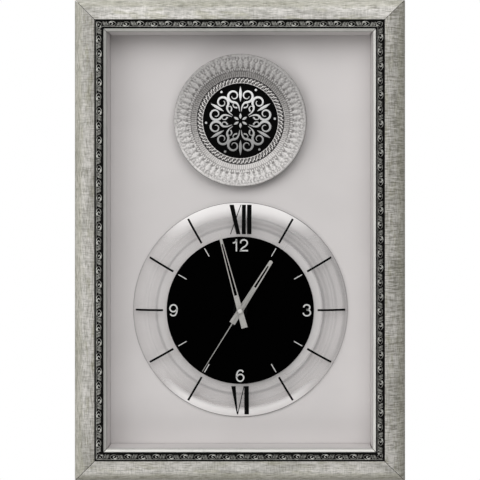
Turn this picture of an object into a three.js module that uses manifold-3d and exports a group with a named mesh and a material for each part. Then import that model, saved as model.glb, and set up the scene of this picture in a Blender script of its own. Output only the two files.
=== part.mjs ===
// Wall clock in a deep shadow-box frame: a mitred silver moulding with a black ornament strip, a pale
// board set back inside it, an embossed round plate above, and below it a quartz clock whose domed
// glass carries a black dial. Millimetres, +Z up, front towards -Y, origin at the hanger's notch.
import * as THREE from "three";
import { mergeVertices } from "three/addons/utils/BufferGeometryUtils.js";
import Module from "manifold-3d";

const wasm = await Module();
wasm.setup();

const TAU = 2 * Math.PI;
const degrees = THREE.MathUtils.degToRad;

// Clearances
const SEAT_GAP = 0.3;
const RUN_GAP = 0.2;
const MITRE_GAP = 0.3;

// Board left bare around the plate and the clock
const SIDE_MARGIN = 23.2;
const TOP_MARGIN = 19.9;
const PLATE_TO_CLOCK = 15.4;
const BOTTOM_MARGIN = 27.1;

// Frame moulding, measured inward from its outer edge and outward from the wall
const FACE_WIDTH = 21.2;
const STRIP_WIDTH = 8.8;
const LIP_WIDTH = 2.8;
const RABBET_WIDTH = 4.2;
const LIP_NOSE_THICKNESS = 3.4;
const LIP_ROUND_HEIGHT = 2.6;
const CROWN_RISE = 1.9;
const FACE_FALL = 13;
const FACE_SIDE_FULLNESS = 0.55;
const FACE_CROWN_FULLNESS = 0.6;
const CHANNEL_DEPTH = 3.2;

// Ornament strip
const STRIP_FLOOR = 1.4;
const STRIP_BORDER_WIDTH = 1.4;
const STRIP_BORDER_RISE = 0.9;

// Box behind the lip
const LINER_DEPTH = 25;
const LINER_END_GAP = 1;
const BOARD_THICKNESS = 3;
const WALL_CLEARANCE = 2;

// Framer's points that hold the board
const POINT_LENGTH = 12;
const POINT_SET_IN = 5;
const POINT_WIDTH = 6;
const POINT_THICKNESS = 0.5;
const POINTS_PER_RAIL = 2;

// Sawtooth hanger
const HANGER_DROP = 14;
const HANGER_WIDTH = 46;
const HANGER_HEIGHT = 9;
const HANGER_SHEET = 0.8;
const HANGER_STAND_OFF = 1.5;
const HANGER_FOOT = 9;
const HANGER_TEETH = 11;
const HANGER_TOOTH_DEPTH = 1.2;
const NAIL_SHANK_RADIUS = 0.6;
const NAIL_LENGTH = 10;
const NAIL_HEAD_RADIUS = 1.4;
const NAIL_HEAD_THICKNESS = 0.6;

// Embossed plate, from its centre disc outwards
const PLATE_DISC_RADIUS = 37.8;
const PLATE_DISC_THICKNESS = 0.6;
const ROPE_BAND_WIDTH = 6.3;
const ROPE_HEIGHT = 1;
const DISH_WALL_WIDTH = 5.9;
const DISH_WALL_RISE = 4.6;
const PETAL_BAND_WIDTH = 15.1;
const PETAL_BAND_RISE = 3.2;
const PETAL_HEIGHT = 0.7;
const PLATE_ROLL_WIDTH = 1.6;
const PLATE_ROLL_RISE = 0.5;
const PLATE_SHEET = 0.8;
const PLATE_WELL = 1.4;
const PAD_INSET = 23.5;
const PAD_THICKNESS = 1.5;

// Dial and the glass that carries it
const DIAL_RADIUS = 74.2;
const DIAL_THICKNESS = 0.8;
const GLASS_FLAT_MARGIN = 8.6;
const GLASS_BORDER_WIDTH = 26.2;
const GLASS_RISE = 10;
const GLASS_THICKNESS = 3;
const GLASS_EDGE = 1.2;
const GLASS_LEAN_IN = 0.34;
const GLASS_LEAN_UP = 0.82;

// Coaxial shafts, from the middle outwards
const SECOND_SPINDLE_RADIUS = 0.55;
const MINUTE_ARBOR_WALL = 0.85;
const HOUR_TUBE_WALL = 0.7;
const BUSH_WALL = 1.25;
const BUSH_PROJECTION = 0.5;
const NUT_ACROSS_FLATS = 12;
const NUT_THICKNESS = 2.5;
const WASHER_RADIUS = 7.5;
const WASHER_THICKNESS = 0.6;
const RUBBER_RADIUS = 10;
const RUBBER_THICKNESS = 1;

// Hands, with their rest angles clockwise from twelve
const HAND_SHEET = 0.5;
const HAND_SPACING = 2.3;
const EYE_WALL = 1;
const EYE_LENGTH = 1.4;
const HOUR_HAND = {
  tip: 59.4, tail: 15, tipWidth: 3.7, tailWidth: 6.3, point: 0.8,
  hubSolid: 27.7, tipSolid: 6.6, slotHubWidth: 2.3, slotTipWidth: 1.5,
};
const MINUTE_HAND = {
  tip: 80.2, tail: 17.6, tipWidth: 2.5, tailWidth: 6.3, point: 6,
  hubSolid: 16, tipSolid: 10.9, slotHubWidth: 2.9, slotTipWidth: 1.3,
};
const SECOND_TIP = 71;
const SECOND_TAIL = 27;
const SECOND_NEEDLE_WIDTH = 1.2;
const SECOND_TAIL_WIDTH = 1.8;
const SECOND_COLLAR_RADIUS = 1.45;
const SECOND_CAP_RADIUS = 2.4;
const SECOND_CAP_HEIGHT = 1.4;
const SECOND_CAP_CHAMFER = 0.6;
const HOUR_ANGLE = degrees(32.3);
const MINUTE_ANGLE = degrees(345);
const SECOND_ANGLE = degrees(212);

// Gear train: tooth counts, and the arbors' places around the clock's axis
const TRAIN_RADIUS = 10.8;
const ROTOR_DISTANCE = 7.84;
const MOTION_DIRECTION = degrees(180);
const SETTING_DIRECTION = degrees(110);
const THIRD_DIRECTION = degrees(15);
const INTERMEDIATE_DIRECTION = degrees(100);
const ROTOR_DIRECTION = degrees(25);
const TEETH = {
  hourWheel: 32, motionPinion: 8, motionWheel: 30, minutePinion: 10, settingPinion: 10,
  minuteWheel: 48, thirdPinion: 8, thirdWheel: 60, secondPinion: 6,
  secondWheel: 30, intermediatePinion: 6, intermediateWheel: 36, rotorPinion: 6,
};
const ADDENDUM = 0.8;
const DEDENDUM = 1.2;
const TOOTH_ROOT_SHARE = 0.21;
const TOOTH_TIP_SHARE = 0.09;
const FIRST_LEVEL = 1.1;
const LEVEL_GAP = 0.55;
const WHEEL_THICKNESS = 0.9;
const PINION_THICKNESS = 1.3;
const ARBOR_RADIUS = 0.5;
const PIVOT_DEPTH = 0.8;

// Stepping motor
const MAGNET_RADIUS = 2.4;
const MAGNET_THICKNESS = 1.6;
const STATOR_THICKNESS = 1;
const STATOR_BAR_WIDTH = 4;
const STATOR_POLE_WALL = 1.6;
const COIL_LENGTH = 15;
const COIL_RADIUS = 3;
const FLANGE_RADIUS = 3.2;
const FLANGE_THICKNESS = 0.8;
const BOBBIN_RADIUS = 2.1;
const CORE_WIDTH = 2.4;
const CORE_THICKNESS = 1;
const BACK_ROOM = 2.1;

// Movement case, battery and circuit
const CASE_WALL = 1.3;
const CASE_FLOOR = 1.5;
const CASE_CORNER = 3;
const COVER_THICKNESS = 1.5;
const ROOM_GAP = 0.5;
const DIVIDER_THICKNESS = 1.2;
const BATTERY_LENGTH = 50.5;
const BATTERY_DIAMETER = 14.5;
const BATTERY_NUB_RADIUS = 2.75;
const BATTERY_NUB_LENGTH = 1;
const CONTACT_SHEET = 0.5;
const CONTACT_BOW = 0.65;
const CONTACT_WIDTH = 7;
const CONTACT_TAB = 4;
const CONTACT_RISE = 4;
const CIRCUIT_WIDTH = 15;
const CIRCUIT_HEIGHT = 9.5;
const CIRCUIT_THICKNESS = 0.8;
const CHIP_RADIUS = 2.4;
const CHIP_TOP_RADIUS = 1.7;
const CHIP_HEIGHT = 0.8;
const CHIP_DROP = 6.2;
const CRYSTAL_RADIUS = 1;
const CRYSTAL_LENGTH = 6;
const POST_RADIUS = 1.2;
const KNOB_RADIUS = 5;
const KNOB_THICKNESS = 1.2;
const KNOB_RIDGES = 20;
const KNOB_RIDGE_DEPTH = 0.4;

// Facets round a full turn, and steps along a curve
const GLASS_FACETS = 60;
const PLATE_FACETS = 40;
const SHAFT_FACETS = 16;
const SMALL_FACETS = 12;
const FACE_STEPS = 10;
const GLASS_OUTSIDE_STEPS = 6;
const GLASS_INSIDE_STEPS = 4;
const CORNER_STEPS = 3;
const CROWN_STEPS = 4;

// How far a cutting tool runs past the faces that it opens
const OVERSHOOT = 1;

// Places that follow from the sizes above
const ROPE_INNER = PLATE_DISC_RADIUS + SEAT_GAP;
const ROPE_OUTER = ROPE_INNER + ROPE_BAND_WIDTH;
const PETAL_INNER = ROPE_OUTER + DISH_WALL_WIDTH;
const PETAL_OUTER = PETAL_INNER + PETAL_BAND_WIDTH;
const PLATE_RADIUS = PETAL_OUTER + PLATE_ROLL_WIDTH;
const PAD_RADIUS = PLATE_RADIUS - PAD_INSET;
const GLASS_FLAT_RADIUS = DIAL_RADIUS + GLASS_FLAT_MARGIN;
const GLASS_RADIUS = GLASS_FLAT_RADIUS + GLASS_BORDER_WIDTH;
const RAIL_WIDTH = FACE_WIDTH + STRIP_WIDTH + LIP_WIDTH;
const RABBET = RAIL_WIDTH - RABBET_WIDTH;
const FRAME_WIDTH = 2 * (RAIL_WIDTH + SIDE_MARGIN + GLASS_RADIUS);
const OPENING_HEIGHT = TOP_MARGIN + 2 * PLATE_RADIUS + PLATE_TO_CLOCK + 2 * GLASS_RADIUS + BOTTOM_MARGIN;
const FRAME_HEIGHT = OPENING_HEIGHT + 2 * RAIL_WIDTH;
const PLATE_RISE = OPENING_HEIGHT / 2 - TOP_MARGIN - PLATE_RADIUS;
const CLOCK_DROP = OPENING_HEIGHT / 2 - BOTTOM_MARGIN - GLASS_RADIUS;
const MINUTE_BORE = SECOND_SPINDLE_RADIUS + RUN_GAP;
const MINUTE_ARBOR_RADIUS = MINUTE_BORE + MINUTE_ARBOR_WALL;
const HOUR_BORE = MINUTE_ARBOR_RADIUS + RUN_GAP;
const HOUR_TUBE_RADIUS = HOUR_BORE + HOUR_TUBE_WALL;
const BUSH_BORE = HOUR_TUBE_RADIUS + RUN_GAP;
const BUSH_RADIUS = BUSH_BORE + BUSH_WALL;
const BUSH_HOLE = BUSH_RADIUS + SEAT_GAP;
const PIVOT_HOLE = ARBOR_RADIUS + RUN_GAP;

// Depths, outward from the wall
const COVER_BACK = WALL_CLEARANCE;
const COVER_FRONT = COVER_BACK + COVER_THICKNESS;
const CASE_BACK = COVER_FRONT + SEAT_GAP;
const LEVEL_PITCH = WHEEL_THICKNESS / 2 + LEVEL_GAP + PINION_THICKNESS / 2;
const MOTOR_LEVEL = 6;
const TRAIN_DEPTH = FIRST_LEVEL + MOTOR_LEVEL * LEVEL_PITCH + MAGNET_THICKNESS / 2 + BACK_ROOM;
const BATTERY_BAY_DEPTH = BATTERY_DIAMETER + 2 * SEAT_GAP - COVER_THICKNESS;
const TRAIN_FRONT = COVER_FRONT + Math.max(TRAIN_DEPTH, BATTERY_BAY_DEPTH);
const CASE_FRONT = TRAIN_FRONT + CASE_FLOOR;
const RUBBER_BACK = CASE_FRONT + SEAT_GAP;
const BOARD_BACK = RUBBER_BACK + RUBBER_THICKNESS + SEAT_GAP;
const BOARD_FRONT = BOARD_BACK + BOARD_THICKNESS;
const LINER_BACK = BOARD_FRONT + SEAT_GAP;
const LEDGE = LINER_BACK + LINER_DEPTH + SEAT_GAP;
const LIP_NOSE = LEDGE + LIP_NOSE_THICKNESS;
const LIP_CREST = LIP_NOSE + LIP_ROUND_HEIGHT;
const CROWN = LIP_CREST + CROWN_RISE;
const SHOULDER = CROWN - FACE_FALL;
const CHANNEL_FLOOR = CROWN - CHANNEL_DEPTH;
const GLASS_BACK = BOARD_FRONT + SEAT_GAP;
const GLASS_FRONT = GLASS_BACK + GLASS_RISE;
const DIAL_BACK = GLASS_FRONT + SEAT_GAP;
const WASHER_BACK = DIAL_BACK + DIAL_THICKNESS + SEAT_GAP;
const NUT_BACK = WASHER_BACK + WASHER_THICKNESS + SEAT_GAP;
const BUSH_FRONT = NUT_BACK + NUT_THICKNESS + BUSH_PROJECTION;
const HOUR_LEVEL = BUSH_FRONT + EYE_LENGTH / 2;
const MINUTE_LEVEL = HOUR_LEVEL + HAND_SPACING;
const SECOND_LEVEL = MINUTE_LEVEL + HAND_SPACING;
const PAD_BACK = BOARD_FRONT + SEAT_GAP;
const PLATE_BACK = PAD_BACK + PAD_THICKNESS + SEAT_GAP;

// Arbors of the train in the plane of the dial
const polar = (radius, angle, from = new THREE.Vector2()) =>
  new THREE.Vector2(from.x + radius * Math.cos(angle), from.y + radius * Math.sin(angle));
const CENTRE = new THREE.Vector2();
const MOTION = polar(TRAIN_RADIUS, MOTION_DIRECTION);
const SETTING = polar(TRAIN_RADIUS, SETTING_DIRECTION, MOTION);
const THIRD = polar(TRAIN_RADIUS, THIRD_DIRECTION);
const INTERMEDIATE = polar(TRAIN_RADIUS, INTERMEDIATE_DIRECTION);
const ROTOR = polar(ROTOR_DISTANCE, ROTOR_DIRECTION, INTERMEDIATE);
const level = (index) => TRAIN_FRONT - FIRST_LEVEL - index * LEVEL_PITCH;

// Outline of the movement, which its battery, wheels and coil set
const moduleOf = (distance, first, second) => (2 * distance) / (TEETH[first] + TEETH[second]);
const tipRadius = (teeth, toothModule) => toothModule * (teeth / 2 + ADDENDUM);
const reachOf = (wheel, pinion) => tipRadius(TEETH[wheel], moduleOf(TRAIN_RADIUS, wheel, pinion));
const CENTRE_REACH = Math.max(
  reachOf("hourWheel", "motionPinion"),
  reachOf("minuteWheel", "thirdPinion"),
  reachOf("secondWheel", "intermediatePinion"),
);
const DIVIDER_TOP = -CENTRE_REACH - ROOM_GAP;
const DIVIDER_BOTTOM = DIVIDER_TOP - DIVIDER_THICKNESS;
const BATTERY_Y = DIVIDER_BOTTOM - SEAT_GAP - BATTERY_DIAMETER / 2;
const CASE_INNER_BOTTOM = BATTERY_Y - BATTERY_DIAMETER / 2 - SEAT_GAP;
const STATOR_POLE_RADIUS = MAGNET_RADIUS + ROOM_GAP + STATOR_POLE_WALL;
const BOBBIN_HALF = COIL_LENGTH / 2 + SEAT_GAP + FLANGE_THICKNESS;
const STATOR_SPAN = 2 * (BOBBIN_HALF + ROOM_GAP + STATOR_BAR_WIDTH);
const COIL_Y = ROTOR.y + STATOR_POLE_RADIUS + ROOM_GAP + FLANGE_RADIUS;
const CASE_INNER_TOP = COIL_Y + FLANGE_RADIUS + 2 * ROOM_GAP;
const CASE_INNER_CORNER = CASE_CORNER - CASE_WALL;
const CIRCUIT_INSET = SEAT_GAP + CASE_INNER_CORNER * (1 - Math.SQRT1_2);
const CASE_INNER_SIDE = Math.max(
  BATTERY_LENGTH / 2 + CONTACT_BOW + CONTACT_SHEET + SEAT_GAP,
  STATOR_SPAN / 2 - ROTOR.x + ROOM_GAP + CIRCUIT_WIDTH + CIRCUIT_INSET,
  reachOf("motionWheel", "minutePinion") - MOTION.x + ROOM_GAP,
  reachOf("thirdWheel", "secondPinion") + THIRD.x + ROOM_GAP,
);
const CONTACT_INNER = CASE_INNER_SIDE - SEAT_GAP - CONTACT_SHEET;
const BATTERY_Z = TRAIN_FRONT - SEAT_GAP - BATTERY_DIAMETER / 2;

// Solids

// A manifold solid from a closed geometry.
function solid(geometry) {
  const bare = geometry.clone();
  bare.deleteAttribute("normal");
  bare.deleteAttribute("uv");
  const merged = mergeVertices(bare);
  const mesh = new wasm.Mesh({
    numProp: 3,
    vertProperties: Float32Array.from(merged.attributes.position.array),
    triVerts: Uint32Array.from(merged.index.array),
  });
  return new wasm.Manifold(mesh);
}

// The geometry of a manifold solid.
function geometryOf(body) {
  const mesh = body.getMesh();
  const geometry = new THREE.BufferGeometry();
  geometry.setAttribute("position", new THREE.BufferAttribute(mesh.vertProperties, 3));
  geometry.setIndex(new THREE.BufferAttribute(mesh.triVerts, 1));
  geometry.computeVertexNormals();
  return geometry;
}

const join = (first, ...rest) =>
  geometryOf(rest.reduce((sum, one) => sum.add(solid(one)), solid(first)));
const cut = (base, ...tools) =>
  geometryOf(tools.reduce((left, one) => left.subtract(solid(one)), solid(base)));
const common = (first, second) => geometryOf(solid(first).intersect(solid(second)));

// A flat shape given thickness between two depths.
function prism(shape, back, front) {
  const settings = { depth: front - back, bevelEnabled: false, curveSegments: CORNER_STEPS };
  return new THREE.ExtrudeGeometry(shape, settings).translate(0, 0, back);
}

// A block between two corners.
function block(low, high) {
  const size = high.map((value, axis) => value - low[axis]);
  const middle = high.map((value, axis) => (value + low[axis]) / 2);
  return new THREE.BoxGeometry(...size).translate(...middle);
}

// A profile of (radius, depth) points turned about the depth axis.
function turned(points, facets) {
  const profile = points.map(([radius, depth]) => new THREE.Vector2(radius, depth));
  return new THREE.LatheGeometry(profile, facets).rotateX(Math.PI / 2);
}

function pin(radius, back, front, facets = SMALL_FACETS) {
  return turned([[0, back], [radius, back], [radius, front], [0, front]], facets);
}

function ring(outer, inner, back, front, facets = SHAFT_FACETS) {
  const section = [[inner, back], [outer, back], [outer, front], [inner, front], [inner, back]];
  return turned(section, facets);
}

// A closed polygon through given points.
const polygon = (points) => new THREE.Shape(points.map(([x, y]) => new THREE.Vector2(x, y)));

function roundedRectangle(left, bottom, right, top, corner) {
  const shape = new THREE.Shape();
  shape.moveTo(left + corner, bottom);
  shape.lineTo(right - corner, bottom);
  shape.absarc(right - corner, bottom + corner, corner, -TAU / 4, 0, false);
  shape.lineTo(right, top - corner);
  shape.absarc(right - corner, top - corner, corner, 0, TAU / 4, false);
  shape.lineTo(left + corner, top);
  shape.absarc(left + corner, top - corner, corner, TAU / 4, TAU / 2, false);
  shape.lineTo(left, bottom + corner);
  shape.absarc(left + corner, bottom + corner, corner, TAU / 2, (3 * TAU) / 4, false);
  return shape;
}

// Scene graph: the face frame has x to the right, y up and z out of the wall.
const wallClock = new THREE.Group();
const face = new THREE.Group();
face.rotation.x = Math.PI / 2;
wallClock.add(face);
const frame = new THREE.Group();
frame.position.y = HANGER_DROP - FRAME_HEIGHT / 2;
face.add(frame);
const plate = new THREE.Group();
plate.position.y = PLATE_RISE;
frame.add(plate);
const clock = new THREE.Group();
clock.position.y = -CLOCK_DROP;
frame.add(clock);

function finish(color, roughness, metalness = 0) {
  return new THREE.MeshStandardMaterial({ color, roughness, metalness });
}

function addPart(parent, name, geometry, material) {
  const mesh = new THREE.Mesh(geometry, material);
  mesh.name = name;
  parent.add(mesh);
  return mesh;
}

const silverPaint = () => finish(0xbdbbb0, 0.42, 0.4);
const blackPaint = () => finish(0x161514, 0.5);
const paleBoard = () => finish(0xcbc7c6, 0.8);
const steel = () => finish(0xa9a9a6, 0.35, 1);
const brass = () => finish(0xb89a55, 0.35, 1);
const blackPlastic = () => finish(0x1b1b1c, 0.45);
const whitePlastic = () => finish(0xe6e3da, 0.5);
const handMetal = () => finish(0xb5b4b0, 0.4, 0.8);

// Frame moulding

// Section of the moulding as (inward, outward): side, convex face, strip channel, rounded lip, rabbet.
function railSection() {
  const section = new THREE.Shape();
  section.moveTo(0, 0);
  section.lineTo(0, SHOULDER);
  const sidePull = SHOULDER + FACE_FALL * FACE_SIDE_FULLNESS;
  const crownPull = FACE_WIDTH * (1 - FACE_CROWN_FULLNESS);
  section.bezierCurveTo(0, sidePull, crownPull, CROWN, FACE_WIDTH, CROWN);
  section.lineTo(FACE_WIDTH, CHANNEL_FLOOR);
  section.lineTo(FACE_WIDTH + STRIP_WIDTH, CHANNEL_FLOOR);
  section.lineTo(FACE_WIDTH + STRIP_WIDTH, LIP_CREST);
  section.quadraticCurveTo(RAIL_WIDTH, LIP_CREST, RAIL_WIDTH, LIP_NOSE);
  section.lineTo(RAIL_WIDTH, LEDGE);
  section.lineTo(RABBET, LEDGE);
  section.lineTo(RABBET, 0);
  return section;
}

// Section of the strip that lies in the channel: a thin floor between two raised borders.
function stripSection() {
  const outer = FACE_WIDTH + SEAT_GAP;
  const inner = FACE_WIDTH + STRIP_WIDTH - SEAT_GAP;
  const back = CHANNEL_FLOOR + SEAT_GAP;
  const floor = back + STRIP_FLOOR;
  const border = floor + STRIP_BORDER_RISE;
  return polygon([
    [outer, back], [inner, back], [inner, border], [inner - STRIP_BORDER_WIDTH, border],
    [inner - STRIP_BORDER_WIDTH, floor], [outer + STRIP_BORDER_WIDTH, floor],
    [outer + STRIP_BORDER_WIDTH, border], [outer, border],
  ]);
}

// A bar of constant section, cut at 45 degrees at both ends to meet its neighbours.
function mitredBar(section, length) {
  const settings = { depth: length, bevelEnabled: false, curveSegments: FACE_STEPS };
  const bar = new THREE.ExtrudeGeometry(section, settings);
  const position = bar.attributes.position;
  for (let i = 0; i < position.count; i += 1) {
    const end = length / 2 - position.getX(i) - MITRE_GAP / Math.SQRT2;
    position.setZ(i, position.getZ(i) > 0 ? end : -end);
  }
  const inward = new THREE.Vector3(0, 1, 0);
  const outward = new THREE.Vector3(0, 0, 1);
  const along = new THREE.Vector3(1, 0, 0);
  return bar.applyMatrix4(new THREE.Matrix4().makeBasis(inward, outward, along));
}

// A framer's point: a flat steel dart driven into the rabbet wall behind the board.
const POINT_FRONT = BOARD_BACK - SEAT_GAP;
const POINT_ROOT = RABBET - POINT_SET_IN;

function framersPoint() {
  const half = POINT_WIDTH / 2;
  const neck = POINT_ROOT + POINT_SET_IN / 2;
  const tip = POINT_ROOT + POINT_LENGTH;
  const dart = polygon([
    [0, POINT_ROOT], [half, neck], [half, tip - half / 2], [half / 2, tip],
    [-half / 2, tip], [-half, tip - half / 2], [-half, neck],
  ]);
  return prism(dart, POINT_FRONT - POINT_THICKNESS, POINT_FRONT);
}

// The kerf that the point is driven into.
function pointKerf(x) {
  const half = POINT_WIDTH / 2 + SEAT_GAP;
  return block(
    [x - half, POINT_ROOT - SEAT_GAP, POINT_FRONT - POINT_THICKNESS - SEAT_GAP],
    [x + half, RABBET + SEAT_GAP, POINT_FRONT + SEAT_GAP],
  );
}

function linerStrip(length) {
  return block(
    [-length / 2, RABBET + SEAT_GAP, LINER_BACK],
    [length / 2, RAIL_WIDTH, LINER_BACK + LINER_DEPTH],
  );
}

const SIDE_LINER_LENGTH = FRAME_HEIGHT - 2 * (RABBET + SEAT_GAP);
const CROSS_LINER_LENGTH = FRAME_WIDTH - 2 * (RAIL_WIDTH + LINER_END_GAP);
const CROSS_SIDE = { reach: FRAME_HEIGHT / 2, length: FRAME_WIDTH, liner: CROSS_LINER_LENGTH };
const UPRIGHT_SIDE = { reach: FRAME_WIDTH / 2, length: FRAME_HEIGHT, liner: SIDE_LINER_LENGTH };
const SIDES = [
  { name: "bottom", turn: 0, ...CROSS_SIDE },
  { name: "right", turn: TAU / 4, ...UPRIGHT_SIDE },
  { name: "top", turn: TAU / 2, ...CROSS_SIDE },
  { name: "left", turn: -TAU / 4, ...UPRIGHT_SIDE },
];

// Hanger nails go through the feet of the hanger into the top rail.
const NAIL_SPREAD = HANGER_WIDTH - HANGER_FOOT;
const NAIL_RISE = HANGER_HEIGHT / 2;

function nailHole(x) {
  const hole = pin(NAIL_SHANK_RADIUS + SEAT_GAP, -SEAT_GAP, NAIL_LENGTH + SEAT_GAP);
  return hole.translate(x, HANGER_DROP - NAIL_RISE, 0);
}

for (const side of SIDES) {
  const turnedSide = new THREE.Group();
  turnedSide.rotation.z = side.turn;
  frame.add(turnedSide);
  const edge = new THREE.Group();
  edge.position.y = -side.reach;
  turnedSide.add(edge);

  const pointPlaces = [];
  for (let i = 0; i < POINTS_PER_RAIL; i += 1) {
    pointPlaces.push(side.length * ((i + 0.5) / POINTS_PER_RAIL - 0.5));
  }
  const holes = pointPlaces.map(pointKerf);
  if (side.name === "top") {
    holes.push(nailHole(-NAIL_SPREAD / 2), nailHole(NAIL_SPREAD / 2));
  }
  const rail = cut(mitredBar(railSection(), side.length), ...holes);
  addPart(edge, `frame_rail_${side.name}`, rail, silverPaint());
  addPart(edge, `ornament_strip_${side.name}`, mitredBar(stripSection(), side.length), blackPaint());
  addPart(edge, `box_liner_${side.name}`, linerStrip(side.liner), paleBoard());
  pointPlaces.forEach((x, i) => {
    const point = addPart(edge, `framers_point_${side.name}_${i + 1}`, framersPoint(), steel());
    point.position.x = x;
  });
}

// Back board with the hole for the clock's bush
const boardHalfWidth = FRAME_WIDTH / 2 - RABBET - SEAT_GAP;
const boardHalfHeight = FRAME_HEIGHT / 2 - RABBET - SEAT_GAP;
const boardSheet = block(
  [-boardHalfWidth, -boardHalfHeight, BOARD_BACK],
  [boardHalfWidth, boardHalfHeight, BOARD_FRONT],
);
const bushHole = pin(BUSH_HOLE, BOARD_BACK - OVERSHOOT, BOARD_FRONT + OVERSHOOT, SHAFT_FACETS)
  .translate(0, -CLOCK_DROP, 0);
addPart(frame, "back_board", cut(boardSheet, bushHole), paleBoard());

// Sawtooth hanger: a bridge bent from sheet, toothed along its lower edge, nailed to the top rail
function hangerBridge() {
  const half = HANGER_WIDTH / 2;
  const inner = half - HANGER_FOOT;
  const foot = -SEAT_GAP;
  const raised = foot - HANGER_STAND_OFF;
  const ramp = HANGER_STAND_OFF;
  const front = [
    [half, foot], [inner, foot], [inner - ramp, raised],
    [-inner + ramp, raised], [-inner, foot], [-half, foot],
  ];
  const back = front.map(([x, depth]) => [x, depth - HANGER_SHEET]).reverse();
  const sheet = prism(polygon([...back, ...front]), 0, HANGER_HEIGHT);
  const across = new THREE.Vector3(1, 0, 0);
  const outward = new THREE.Vector3(0, 0, 1);
  const downward = new THREE.Vector3(0, -1, 0);
  return sheet.applyMatrix4(new THREE.Matrix4().makeBasis(across, outward, downward))
    .translate(0, HANGER_HEIGHT, 0);
}

function hangerOutline() {
  const half = HANGER_WIDTH / 2;
  const toothed = half - HANGER_FOOT - HANGER_STAND_OFF;
  const pitch = (2 * toothed) / HANGER_TEETH;
  const points = [[-half, 0], [-toothed, 0]];
  for (let i = 0; i < HANGER_TEETH; i += 1) {
    const start = -toothed + i * pitch;
    points.push([start + pitch / 2, HANGER_TOOTH_DEPTH], [start + pitch, 0]);
  }
  points.push([half, 0], [half, HANGER_HEIGHT], [-half, HANGER_HEIGHT]);
  return polygon(points);
}

const hangerReach = HANGER_STAND_OFF + HANGER_SHEET + 2 * SEAT_GAP;
const hangerBlank = common(hangerBridge(), prism(hangerOutline(), -hangerReach, 0));
const hangerHoles = [-1, 1].map((sign) =>
  pin(NAIL_SHANK_RADIUS + SEAT_GAP, -hangerReach, 0).translate((sign * NAIL_SPREAD) / 2, NAIL_RISE, 0));
addPart(face, "sawtooth_hanger", cut(hangerBlank, ...hangerHoles), steel());

function hangerNail() {
  const head = -2 * SEAT_GAP - HANGER_SHEET;
  const crown = head - NAIL_HEAD_THICKNESS;
  return turned([
    [0, crown], [NAIL_HEAD_RADIUS, crown], [NAIL_HEAD_RADIUS, head], [NAIL_SHANK_RADIUS, head],
    [NAIL_SHANK_RADIUS, NAIL_LENGTH - 2 * NAIL_SHANK_RADIUS], [0, NAIL_LENGTH],
  ], SMALL_FACETS);
}

for (const [name, sign] of [["left", -1], ["right", 1]]) {
  const nail = addPart(face, `hanger_nail_${name}`, hangerNail(), steel());
  nail.position.set((sign * NAIL_SPREAD) / 2, NAIL_RISE, 0);
}

// Embossed plate, its black centre disc and the pad that holds it to the board

// Front of the pressed sheet at a radius without its relief: a flat well, a curved wall, a sloping rim.
function dishFront(radius) {
  const wall = THREE.MathUtils.smoothstep(radius, ROPE_OUTER, PETAL_INNER);
  const rim = THREE.MathUtils.clamp((radius - PETAL_INNER) / PETAL_BAND_WIDTH, 0, 1);
  return PLATE_WELL + DISH_WALL_RISE * wall + PETAL_BAND_RISE * rim;
}

// A band of the dish from one radius in to another, crowned by a height, as (radius, height) points.
function crownedBand(outer, inner, height) {
  const points = [];
  for (let i = 0; i < CROWN_STEPS; i += 1) {
    const share = i / CROWN_STEPS;
    const radius = outer + (inner - outer) * share;
    points.push([radius, dishFront(radius) + height * Math.sin(Math.PI * share)]);
  }
  return points;
}

function embossedPlate() {
  const skirt = PLATE_RADIUS - PLATE_SHEET;
  const wallFoot = PAD_RADIUS + PLATE_WELL;
  const behind = (radius) => [radius, dishFront(radius) - PLATE_SHEET];
  const [, rimBack] = behind(skirt);
  const hem = rimBack - PLATE_SHEET;
  const underside = [
    [0, 0], [PAD_RADIUS, 0], behind(wallFoot), behind((wallFoot + PETAL_INNER) / 2), behind(PETAL_INNER),
    behind(PETAL_OUTER), [skirt, rimBack], [skirt, hem], [PLATE_RADIUS, hem],
  ];
  const topside = [
    [PLATE_RADIUS, rimBack], [skirt, dishFront(skirt) + PLATE_ROLL_RISE],
    ...crownedBand(PETAL_OUTER, PETAL_INNER, PETAL_HEIGHT), ...crownedBand(PETAL_INNER, ROPE_OUTER, 0),
    ...crownedBand(ROPE_OUTER, ROPE_INNER, ROPE_HEIGHT), [ROPE_INNER, PLATE_WELL], [0, PLATE_WELL],
  ];
  return turned([...underside, ...topside], PLATE_FACETS);
}

const plateSolid = addPart(plate, "embossed_plate", embossedPlate(), finish(0xb9b8b4, 0.38, 0.85));
plateSolid.position.z = PLATE_BACK;
const discBack = PLATE_BACK + PLATE_WELL + SEAT_GAP;
const centreDisc = pin(PLATE_DISC_RADIUS, discBack, discBack + PLATE_DISC_THICKNESS, PLATE_FACETS);
addPart(plate, "plate_centre_disc", centreDisc, finish(0x0b0b0b, 0.5));
const adhesivePad = pin(PAD_RADIUS, PAD_BACK, PAD_BACK + PAD_THICKNESS, SHAFT_FACETS);
addPart(plate, "plate_adhesive_pad", adhesivePad, finish(0xf0efe9, 0.9));

// Clock glass: flat middle, a crease, then a convex border down to the board

// The border's curve from its foot up to the crease, as (radius, height) points.
function borderCurve(footRadius, footHeight, creaseHeight, steps) {
  const lean = new THREE.Vector2(
    footRadius - (footRadius - GLASS_FLAT_RADIUS) * GLASS_LEAN_IN,
    creaseHeight * GLASS_LEAN_UP,
  );
  const foot = new THREE.Vector2(footRadius, footHeight);
  const crease = new THREE.Vector2(GLASS_FLAT_RADIUS, creaseHeight);
  const curve = new THREE.QuadraticBezierCurve(foot, lean, crease);
  return curve.getPoints(steps).map((point) => [point.x, point.y]);
}

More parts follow.
